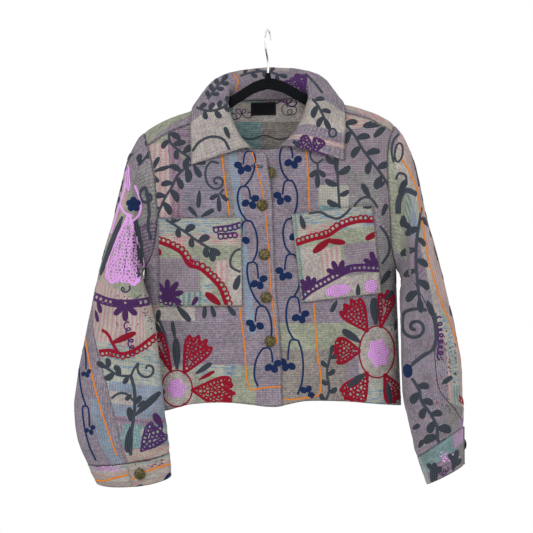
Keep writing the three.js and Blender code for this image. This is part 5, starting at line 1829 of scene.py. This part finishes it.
def stitch_sleeve_right():
    """The right sleeve: a lilac flower, chains and branches, all round."""
    cloths = ("sleeve_right_upper_cloth", "sleeve_right_under_cloth")
    n = Needle("sleeve_right_stitches", cloths, "front", 25)
    leaves(n, ((122, 192, 121, 166, 9), (116, 206, 114, 196, 7), (112, 214, 109, 206, 6)))
    leaves(n, ((130, 192, 127, 163, 11),), "lilac", 1.0)
    n.line(photo((128, 168), (126, 188), (121, 204), (116, 220), (112, 234)), "lilac", 5.0)
    n.line(photo((136, 186), (140, 196), (142, 208), (140, 216), (134, 222)), "lilac", 5.0)
    n.line(photo((121, 204), (126, 213), (134, 217)), "lilac", 5.0)
    for turn in range(20, 380, 72):
        n.disc(at(135, 205) + heading(turn) * 7.4, 11.5, 11.5, "navy", lift=1.6)
    n.disc(at(135, 205), 5, 5, "navy")
    n.lace(at(131, 214), -95, 126, 38, "lilac", 2, 5.6, 6.2)
    n.line(photo((132, 226), (129, 250), (126, 276)), "purple", 1.8)
    n.leaf(at(124, 217), at(101, 276), 13, "slate", 1.05)
    n.leaf(at(137, 219), at(142, 280), 17, "slate", 1.1)
    n.line(photo((117, 196), (111, 222), (104, 248), (99, 272)), "lilac", 3.4)
    n.spiral(at(148, 197), 15, 1.3, 100, 6.0, -1, photo((150, 212), (149, 226), (152, 240)))
    n.branch(photo((139, 166), (147, 157), (152, 146)), 3, 17, 4.8, 50, 0.6)
    chain = photo((96, 293), (110, 298), (125, 300), (141, 299), (157, 296))
    n.chain(chain, "purple", 9.0, -1, 3.4, 4.2, double=True)
    n.tuft(at(128, 304), -90, 5, 28, "purple", 98, 0.42)
    leaves(n, ((99, 300, 103, 313, 9), (97, 310, 100, 322, 7)), "purple")
    n.loops(photo((129, 322), (133, 338), (135, 352)), "purple", 8, 3.0, 0.62)
    n.loops(photo((124, 290), (131, 288)), "purple", 8, 3.0, 0.62)
    leaves(n, ((114, 342, 139, 331, 12),), "crimson", 1.2)
    n.line(photo((104, 329), (110, 333), (115, 342), (120, 350)), "crimson", 6)
    chain = photo((101, 350), (113, 349), (126, 352), (139, 347), (150, 339), (160, 331))
    n.chain(chain, "crimson", 8.2, -1, 3.1, 6.6)
    n.line(photo((133, 452), (134, 430), (137, 408), (137, 388), (133, 372)), "slate", 6.5)
    n.spiral(at(150, 367), 18, 1.2, 150, 4.6, -1, photo((136, 368), (133, 376)))
    n.branch(photo((133, 374), (121, 373), (108, 366)), 4, 18, 5.0, 52, 0.6)
    n.line(photo((136, 398), (130, 392), (122, 391), (114, 396)), "slate", 4.6)
    rows = (
        (138, 412, 163, 389, 13), (137, 402, 144, 393, 10), (133, 418, 132, 404, 12),
        (133, 424, 130, 450, 15), (134, 392, 128, 398, 9), (140, 404, 148, 398, 8),
    )
    leaves(n, rows)
    n.lace(at(143, 448), 50, 56, 56, "purple", 3, 3.4, 7.2)
    leaves(n, ((164, 424, 156, 410, 13),), "purple")
    n.specks((-255, -190, -500, -440), "purple", 46, 3.4, 1.6, 30)
    n.line(photo((86, 335), (91, 360), (99, 392), (109, 424), (119, 452)), "orange", 3.2)
    vine(n, [(*at(84, 346), -1), (*at(88, 404), -1)], at(98, 458), 9, 8.5)
    outer = Needle("sleeve_right_outer_stitches", cloths, "right", 26)
    joints = ((2, -340, 1), (0, -420, -1), (6, -500, 1), (2, -590, -1))
    vine(outer, joints, (4, -676), 12, 10)
    outer.line([(30, -300), (34, -420), (34, -540), (26, -676)], "orange", 3.0)
    outer.branch([(-20, -200), (-8, -240), (-14, -290)], 6, 18, 5.2, 52, 0.6)
    rear = Needle("sleeve_right_rear_stitches", cloths, "back", 27)
    rear.branch([(-226, -230), (-236, -280), (-248, -330), (-250, -390)], 9, 20, 5.6, 52, 0.6)
    rail = [(-290, -430), (-262, -438), (-236, -436), (-204, -428)]
    rear.chain(rail, "purple", 7.6, 1, 2.4, 3, double=True)
    rear.tuft((-248, -446), -90, 5, 22, "purple", 90, 0.42)
    rear.spiral((-250, -510), 19, 1.4, 40, 4.6, 1, [(-236, -536), (-244, -570), (-256, -610)])
    rear.branch([(-256, -600), (-248, -640), (-232, -672)], 5, 19, 5.6, 52, 0.6)
    rear.chain([(-310, -560), (-288, -570), (-272, -590)], "crimson", 7.6, 1, 2.6, 5)
    rear.lace((-214, -600), 120, 46, 60, "crimson", 3, 4.0)
    rear.line([(-282, -300), (-298, -400), (-310, -520), (-314, -670)], "orange", 3.0)
    return [n.sew(), outer.sew(), rear.sew()]


def stitch_sleeve_left():
    """The left sleeve: slate branches, curls and an orange line, all round."""
    cloths = ("sleeve_left_upper_cloth", "sleeve_left_under_cloth")
    n = Needle("sleeve_left_stitches", cloths, "front", 28)
    line = photo(
        (401, 160), (409, 174), (415, 190), (418, 207), (421.5, 231),
        (425, 255), (431.5, 280), (439, 302)
    )
    n.line(np.concatenate([line, photo((449, 326), (456, 345), (459, 360))]), "orange", 3.3)
    n.line(photo((397, 214), (398, 200), (404, 191), (415, 195)), "slate", 10.5)
    leaves(n, ((398, 196, 405, 180, 12), (410, 230, 400, 222, 11), (402, 216, 402, 228, 12)))
    n.line(photo((395, 180), (398, 174), (404, 176), (405, 186)), "slate", 4.4)
    n.line(photo((399, 134), (393, 141), (391, 152), (393, 163)), "slate", 4.2)
    n.ring(at(398, 153), 13, 32, "slate", 4.0, turn=-8)
    stem = photo((420, 208), (417, 224), (414, 243), (413, 262), (414, 280), (416, 298))
    n.branch(stem, 8, 24, 6.0, 56, 0.52)
    n.line(photo((412, 156), (416, 172), (418, 187)), "slate", 4.8)
    rows = ((430, 226, 432, 236, 7), (433, 246, 437, 258, 8), (448, 305, 450, 316, 7))
    leaves(n, rows + ((455, 332, 457, 340, 6),))
    n.spiral(at(412, 326), 20, 1.5, 175, 6.4, -1, photo((402, 312), (412, 308), (423, 309)))
    leaves(n, ((424, 300, 430, 315, 12),))
    n.line(photo((430, 312), (432, 330), (431, 346), (420, 353), (409, 362)), "slate", 5.4)
    n.line(photo((432, 312), (433, 332), (428, 348), (418, 356), (408, 364)), "slate", 4.6)
    n.disc(at(405, 369), 17, 25, "navy")
    stem = photo((409, 376), (416, 388), (418, 398), (427, 411), (433, 423), (434, 436), (441, 444))
    n.branch(stem, 9, 23, 6.0, 56, 0.62, ends=False)
    n.loops(photo((435, 317), (437, 334), (436, 356)), "purple", 8, 3.6, 0.6)
    leaves(n, ((438, 381, 449, 374, 10), (410, 426, 417, 421, 9), (416, 444, 420, 436, 9)))
    seam = photo(
        (411, 282), (423, 304), (431, 324), (431, 345), (432, 368),
        (436, 388), (450, 405), (460, 419)
    )
    n.line(seam, "ink", 1.5, lift=0.4)
    n.specks((268, 296, -330, -240), "lilac", 40, 3.4, 1.7, 70)
    n.specks((282, 312, -640, -520), "slate", 34, 4.2, 1.6, -50)
    n.specks((276, 300, -620, -500), "crimson", 14, 3.6, 1.6, 80)
    outer = Needle("sleeve_left_outer_stitches", cloths, "left", 29)
    outer.branch([(-20, -230), (-8, -300), (-22, -370), (-10, -440)], 11, 19, 4.6, 52, 0.6)
    outer.line([(14, -220), (20, -340), (16, -460), (10, -580), (6, -700)], "orange", 3.0)
    outer.loops([(-24, -470), (-30, -530), (-20, -590)], "purple", 10, 2.3)
    outer.branch([(30, -420), (38, -480), (28, -540), (36, -600)], 8, 18, 5.2, 52, 0.6)
    outer.chain([(-60, -610), (-30, -618), (4, -612), (40, -606)], "crimson", 7.6, -1, 2.6, 5)
    rear = Needle("sleeve_left_rear_stitches", cloths, "back", 30)
    rear.spiral((262, -320), 20, 1.4, 200, 4.8, 1, [(240, -330), (236, -290), (240, -250)])
    rear.branch([(246, -250), (256, -220), (262, -190)], 5, 17, 5.2, 52, 0.6)
    rear.branch([(252, -360), (262, -420), (256, -480), (270, -540)], 10, 20, 5.6, 54, 0.6)
    rear.line([(290, -300), (306, -400), (314, -520), (312, -690)], "orange", 3.0)
    rear.lace((262, -640), 70, 56, 60, "crimson", 4, 4.4)
    rear.lace((250, -640), 160, 44, 56, "crimson", 3, 4.4)
    rear.disc((256, -640), 20, 22, "lilac", lift=1.3)
    rear.tuft((300, -590), 60, 3, 19, "purple", 50, 0.4)
    return [n.sew(), outer.sew(), rear.sew()]


def stitch_cuff_right():
    """The right cuff: an orange line all round and a few leaves."""
    n = Needle("cuff_right_stitches", ("cuff_right_cloth",), "front", 31)
    n.line(photo((92, 478), (106, 478), (120, 474), (131, 471)), "orange", 3.4)
    n.line(photo((134, 476), (150, 467), (174, 460)), "orange", 3.4)
    n.specks((-282, -246, -734, -714), "lilac", 46, 3.6, 2.2, 20)
    n.specks((-222, -170, -728, -712), "crimson", 26, 3.2, 1.4, 8)
    leaves(n, ((166, 476, 173, 469, 6), (138, 483, 146, 481, 5)), "navy")
    n.line(photo((98, 464), (110, 462), (124, 459)), "slate", 1.8)
    rear = Needle("cuff_right_rear_stitches", ("cuff_right_cloth",), "back", 32)
    rear.line([(-294, -742), (-250, -744), (-210, -738), (-156, -726)], "orange", 3.4)
    rear.branch([(-276, -724), (-240, -728), (-200, -722)], 5, 12, 3.4, 54, 0.6)
    return [n.sew(), rear.sew()]


def stitch_cuff_left():
    """The left cuff: slate leaves in pairs."""
    n = Needle("cuff_left_stitches", ("cuff_left_cloth",), "front", 33)
    rows = (
        (430, 482, 431, 458, 15), (431, 470, 438, 462, 10), (429, 466, 424, 459, 9),
        (434, 484, 441, 477, 8), (449, 466, 454, 446, 13), (450, 462, 459, 456, 10),
        (449, 458, 445, 449, 9), (452, 468, 446, 474, 8),
    )
    leaves(n, rows)
    n.loops(photo((437, 470), (444, 464)), "purple", 7, 1.8)
    n.specks((284, 318, -716, -700), "lilac", 36, 3.6, 2.2, 30)
    rear = Needle("cuff_left_rear_stitches", ("cuff_left_cloth",), "back", 34)
    rear.branch([(270, -742), (296, -736), (318, -724)], 5, 16, 4.8, 54, 0.6)
    return [n.sew(), rear.sew()]


def stitch_collar():
    """The collar: slate branches and purple fans in front, and loops behind."""
    n = Needle("collar_stitches", ("collar_cloth",), "front", 35)
    n.line(photo((193, 152), (200, 143), (212, 138), (224, 141), (230, 151)), "slate", 5.2)
    n.leaf(at(230, 140), at(225, 128), 9, "slate")
    n.specks((-128, -64, -215, -150), "lilac", 24, 3.0, 1.4)
    n.branch(photo((197, 108), (208, 112), (221, 110), (231, 102)), 7, 16, 5.0, 56, 0.62)
    n.line(photo((234, 72), (238, 80), (236, 90)), "orange", 3.0)
    n.branch(photo((208, 100), (215, 90), (222, 80)), 6, 16, 5.0, 54, 0.62)
    n.branch(photo((240, 74), (252, 70), (266, 69), (280, 73)), 6, 14, 4.6, 54, 0.62)
    n.lace(at(307, 100), 124, 52, 56, "purple", 2, 5.0, 6.2)
    n.lace(at(304, 92), 100, 34, 40, "purple", 2, 4.0, 6.0)
    n.branch(photo((312, 100), (318, 108), (324, 120)), 4, 21, 5.0, 56, 0.5)
    n.line(photo((306, 72), (314, 82), (322, 94)), "slate", 5.0)
    n.ring(at(332, 134), 12, 14, "slate", 4.0)
    n.lace(at(312, 152), 138, 31, 62, "purple", 2, 3.6, 6.0)
    n.lace(at(314, 153), 66, 25, 60, "purple", 2, 3.6, 6.0)
    n.line(photo((312, 152), (322, 155), (332, 158)), "purple", 5.0)
    n.leaf(at(300, 148), at(292, 142), 8, "slate")
    rear = Needle("collar_rear_stitches", ("collar_cloth",), "back", 36)
    rear.branch([(-104, -104), (-56, -112), (0, -104), (56, -112), (104, -98)], 12, 16, 5.2, 54, 0.6)
    rear.line([(-106, -84), (-50, -72), (0, -70), (50, -72), (106, -80)], "orange", 3.0)
    rear.loops([(-70, -90), (-40, -84), (-14, -86)], "purple", 10, 2.2)
    rear.loops([(20, -86), (48, -88), (76, -86)], "purple", 10, 2.2)
    return [n.sew(), rear.sew()]


def stitch_lining():
    """Inside the neck: the other side of the threads."""
    n = Needle("lining_stitches", ("back_cloth",), "inside", 37)
    n.loops(photo((233, 118), (241, 110), (250, 116)), "purple", 12, 1.7)
    n.loops(photo((271, 100), (282, 97), (294, 103)), "purple", 11, 2.8)
    n.line(photo((236, 134), (250, 138), (264, 134), (280, 138), (296, 134)), "slate", 2.6)
    n.loops(photo((284, 106), (290, 112), (296, 108)), "slate", 12, 1.8)
    return n.sew()


def stitch_back():
    """The back: branches, two crimson flowers, a navy vine and two chains."""
    n = Needle("back_stitches", ("back_cloth",), "back", 38)
    joints = [(0, -190 - 62 * k, 1 - 2 * (k % 2)) for k in range(7)]
    vine(n, joints, (4, -616), 15)
    for x in (-36, 38):
        n.line([(x, -190), (x * 1.1, -330), (x * 1.2, -480), (x * 1.3, -614)], "orange", 3.1)
    n.branch([(-66, -150), (-96, -200), (-128, -240), (-166, -270)], 13, 21, 5.6, 52, 0.6)
    n.branch([(70, -146), (96, -190), (130, -232), (170, -262)], 13, 21, 5.6, 52, 0.6)
    n.branch([(-52, -330), (-60, -270), (-56, -210)], 8, 18, 5.2, 54, 0.6)
    n.branch([(62, -320), (60, -270), (66, -214)], 8, 18, 5.2, 54, 0.6)
    n.spiral((-150, -180), 22, 1.5, 300, 4.6, 1, [(-120, -176), (-96, -160)])
    n.spiral((152, -172), 22, 1.5, 240, 4.6, -1, [(122, -170), (100, -158)])
    chain = [(-198, -330), (-160, -318), (-120, -338), (-84, -352), (-54, -366)]
    n.chain(chain, "crimson", 8.4, 1, 2.7, 6.4)
    chain = [(200, -350), (164, -334), (126, -346), (88, -340), (58, -352)]
    n.chain(chain, "purple", 7.6, -1, 2.5, 3.2, double=True)
    for x, z, angle in ((166, -326, 80), (122, -338, 100), (84, -332, 90)):
        n.tuft((x, z), angle, 3, 20, "purple", 50, 0.42)
    fans = ((90, 56, 60, 4), (22, 52, 56, 4), (162, 56, 58, 4), (232, 62, 58, 4), (306, 60, 56, 4))
    crimson_flower(n, (-122, -500), (58, 66), fans)
    fans = ((60, 58, 58, 4), (128, 56, 58, 4), (0, 56, 54, 4), (204, 56, 58, 4))
    crimson_flower(n, (128, -524), (54, 60), fans)
    n.lace((128, -556), -88, 50, 60, "crimson", 4, 4.6)
    rows = ((-122, -462, 52, 26), (-90, -484, -10, 26), (-150, -530, 200, 26), (-124, -540, 270, 26))
    rows += ((128, -488, 92, 26), (100, -504, 165, 26), (156, -548, -38, 28), (98, -552, 232, 26))
    for x, z, angle, reach in rows:
        n.leaf((x, z), np.array([x, z]) + heading(angle) * reach, 13, "slate")
    n.branch([(-58, -600), (-62, -550), (-54, -500), (-60, -440)], 9, 17, 5.2, 54, 0.6)
    n.branch([(66, -606), (60, -560), (68, -510), (62, -450), (70, -400)], 11, 17, 5.2, 54, 0.6)
    n.spiral((168, -420), 20, 1.4, 100, 4.6, 1, [(146, -414), (120, -424), (104, -446)])
    n.tuft((-176, -396), 80, 4, 24, "purple", 74, 0.4)
    n.loops([(-196, -410), (-160, -404), (-128, -414)], "purple", 10, 2.2)
    n.disc((-190, -590), 24, 20, "lilac")
    n.disc((196, -440), 20, 30, "lilac")
    n.specks((-200, -80, -640, -575), "lilac", 60, 3.4, 1.7)
    return n.sew()


# The sizes and colours that a user would change.
def thickness(name, description, default):
    """A setting for the thickness of a cloth."""
    default = default * MM
    return bpy.props.FloatProperty(name=name, description=description, default=default, unit="LENGTH")


def colour(name, description, *tone):
    """A setting for a colour."""
    default = rgb(*tone)[:3]
    return bpy.props.FloatVectorProperty(
        name=name, description=description, default=default, subtype="COLOR", min=0, max=1
    )


class JacketCloth(bpy.types.PropertyGroup):
    """How thick each kind of cloth is."""

    body: thickness("Body", "Thickness of the body and sleeves", CLOTH)
    collar: thickness("Collar", "Thickness of the collar", COLLAR_CLOTH)
    cuff: thickness("Cuffs", "Thickness of the cuffs", CUFF_CLOTH)


class JacketThreads(bpy.types.PropertyGroup):
    """The colours of the embroidery threads."""

    slate: colour("Slate", "Leaves and stems", 54, 60, 70)
    crimson: colour("Crimson", "Large flowers and chains", 132, 2, 32)
    purple: colour("Purple", "Small flowers and chains", 68, 34, 86)
    navy: colour("Navy", "Vines along the front edges", 10, 36, 80)
    orange: colour("Orange", "Long topstitched lines", 208, 122, 34)
    lilac: colour("Lilac", "Fills and the sleeve's flower", 206, 150, 212)
    ink: colour("Ink", "Seams and the buttonhole", 34, 32, 48)


class JacketFittings(bpy.types.PropertyGroup):
    """The colours of the buttons and the hanger."""

    brass: colour("Brass", "Colour of the buttons", 84, 76, 48)
    hanger: colour("Hanger", "Colour of the flock", 8, 9, 12)


class JacketStage(bpy.types.PropertyGroup):
    """The light, the floor and the camera."""

    light: bpy.props.FloatProperty(
        name="Light", description="Strength of the main light", default=62.0, min=0, unit="POWER"
    )
    floor: colour("Floor", "Colour of the floor", 246, 246, 244)
    lens: bpy.props.FloatProperty(
        name="Lens", description="Focal length", default=160.9, min=20, unit="CAMERA"
    )


class JACKET_OT_stage(bpy.types.Operator):
    """Makes the floor, the lights and the camera."""

    bl_idname = "jacket.stage"
    bl_label = "Stage"

    def execute(self, context):
        build_stage()
        return {"FINISHED"}


class JACKET_OT_hanger(bpy.types.Operator):
    """Finishes the hanger's flocked arms and its wire hook."""

    bl_idname = "jacket.hanger"
    bl_label = "Hanger"

    def execute(self, context):
        refinish(finish_of("flocking", flocking), "hanger_arms")
        refinish(finish_of("bright_wire", bright_wire), "hanger_hook")
        return {"FINISHED"}


class JACKET_OT_back(bpy.types.Operator):
    """Makes the back and its embroidery, outside and inside the neck."""

    bl_idname = "jacket.back"
    bl_label = "Back"

    def execute(self, context):
        build_back()
        declare("back_cloth", [stitch_back(), stitch_lining()])
        return {"FINISHED"}


class JACKET_OT_label(bpy.types.Operator):
    """Makes the bare label inside the neck."""

    bl_idname = "jacket.label"
    bl_label = "Label"

    def execute(self, context):
        build_label()
        declare("neck_label_cloth")
        return {"FINISHED"}


class JACKET_OT_fronts(bpy.types.Operator):
    """Makes the two fronts and their embroidery."""

    bl_idname = "jacket.fronts"
    bl_label = "Fronts"

    def execute(self, context):
        for side, stitch in ((RIGHT, stitch_front_right), (LEFT, stitch_front_left)):
            build_front(side)
            declare(f"front_{side.name}_cloth", [stitch()])
        return {"FINISHED"}


class JACKET_OT_pockets(bpy.types.Operator):
    """Makes the two patch pockets and their embroidery."""

    bl_idname = "jacket.pockets"
    bl_label = "Pockets"

    def execute(self, context):
        for name, stitch in (("right", stitch_pocket_right), ("left", stitch_pocket_left)):
            build_pocket(f"pocket_{name}")
            declare(f"pocket_{name}_cloth", [stitch()])
        return {"FINISHED"}


class JACKET_OT_collar(bpy.types.Operator):
    """Makes the collar and its embroidery."""

    bl_idname = "jacket.collar"
    bl_label = "Collar"

    def execute(self, context):
        build_collar()
        declare("collar_cloth", stitch_collar())
        return {"FINISHED"}


class JACKET_OT_sleeves(bpy.types.Operator):
    """Makes the two sleeves, each of two pieces, and their embroidery."""

    bl_idname = "jacket.sleeves"
    bl_label = "Sleeves"

    def execute(self, context):
        for side, stitch in ((RIGHT, stitch_sleeve_right), (LEFT, stitch_sleeve_left)):
            for part in ("upper", "under"):
                build_sleeve(side, part)
            stitches = stitch()
            declare(f"sleeve_{side.name}_upper_cloth", stitches)
            declare(f"sleeve_{side.name}_under_cloth")
        return {"FINISHED"}


class JACKET_OT_cuffs(bpy.types.Operator):
    """Makes the two cuffs and their embroidery."""

    bl_idname = "jacket.cuffs"
    bl_label = "Cuffs"

    def execute(self, context):
        for side, stitch in ((RIGHT, stitch_cuff_right), (LEFT, stitch_cuff_left)):
            build_cuff(side)
            declare(f"cuff_{side.name}_cloth", stitch())
        return {"FINISHED"}


class JACKET_OT_buttons(bpy.types.Operator):
    """Finishes the seven buttons in aged brass."""

    bl_idname = "jacket.buttons"
    bl_label = "Buttons"

    def execute(self, context):
        names = [f"button_front_{i}" for i in range(1, 6)] + ["button_cuff_right", "button_cuff_left"]
        refinish(finish_of("aged_brass", aged_brass), *names)
        return {"FINISHED"}


OPERATORS = (
    JACKET_OT_stage, JACKET_OT_hanger, JACKET_OT_back, JACKET_OT_label, JACKET_OT_fronts,
    JACKET_OT_pockets, JACKET_OT_collar, JACKET_OT_sleeves, JACKET_OT_cuffs, JACKET_OT_buttons,
)
GROUPS = {
    "jacket_cloth": JacketCloth,
    "jacket_threads": JacketThreads,
    "jacket_fittings": JacketFittings,
    "jacket_stage": JacketStage,
}


class JACKET_PT_pieces(bpy.types.Panel):
    """The jacket's pieces, sizes and colours."""

    bl_idname = "JACKET_PT_pieces"
    bl_label = "Jacket"
    bl_space_type = "VIEW_3D"
    bl_region_type = "UI"
    bl_category = "Jacket"

    def draw(self, context):
        for operator in OPERATORS:
            self.layout.operator(operator.bl_idname)
        for title, group in GROUPS.items():
            box = self.layout.box()
            box.label(text=title.replace("jacket_", "").capitalize())
            for name in group.__annotations__:
                box.prop(getattr(context.scene, title), name)


def register():
    """Adds the classes and their settings."""
    for group in GROUPS.values():
        bpy.utils.register_class(group)
    for title, group in GROUPS.items():
        setattr(bpy.types.Scene, title, bpy.props.PointerProperty(type=group))
    for operator in (*OPERATORS, JACKET_PT_pieces):
        bpy.utils.register_class(operator)


def unregister():
    """Takes the classes and their settings away."""
    for operator in reversed((*OPERATORS, JACKET_PT_pieces)):
        bpy.utils.unregister_class(operator)
    for title, group in GROUPS.items():
        delattr(bpy.types.Scene, title)
        bpy.utils.unregister_class(group)


def main():
    """Builds the jacket."""
    register()
    for operator in OPERATORS:
        kind, name = operator.bl_idname.split(".")
        getattr(getattr(bpy.ops, kind), name)()


if __name__ == "__main__":
    main()
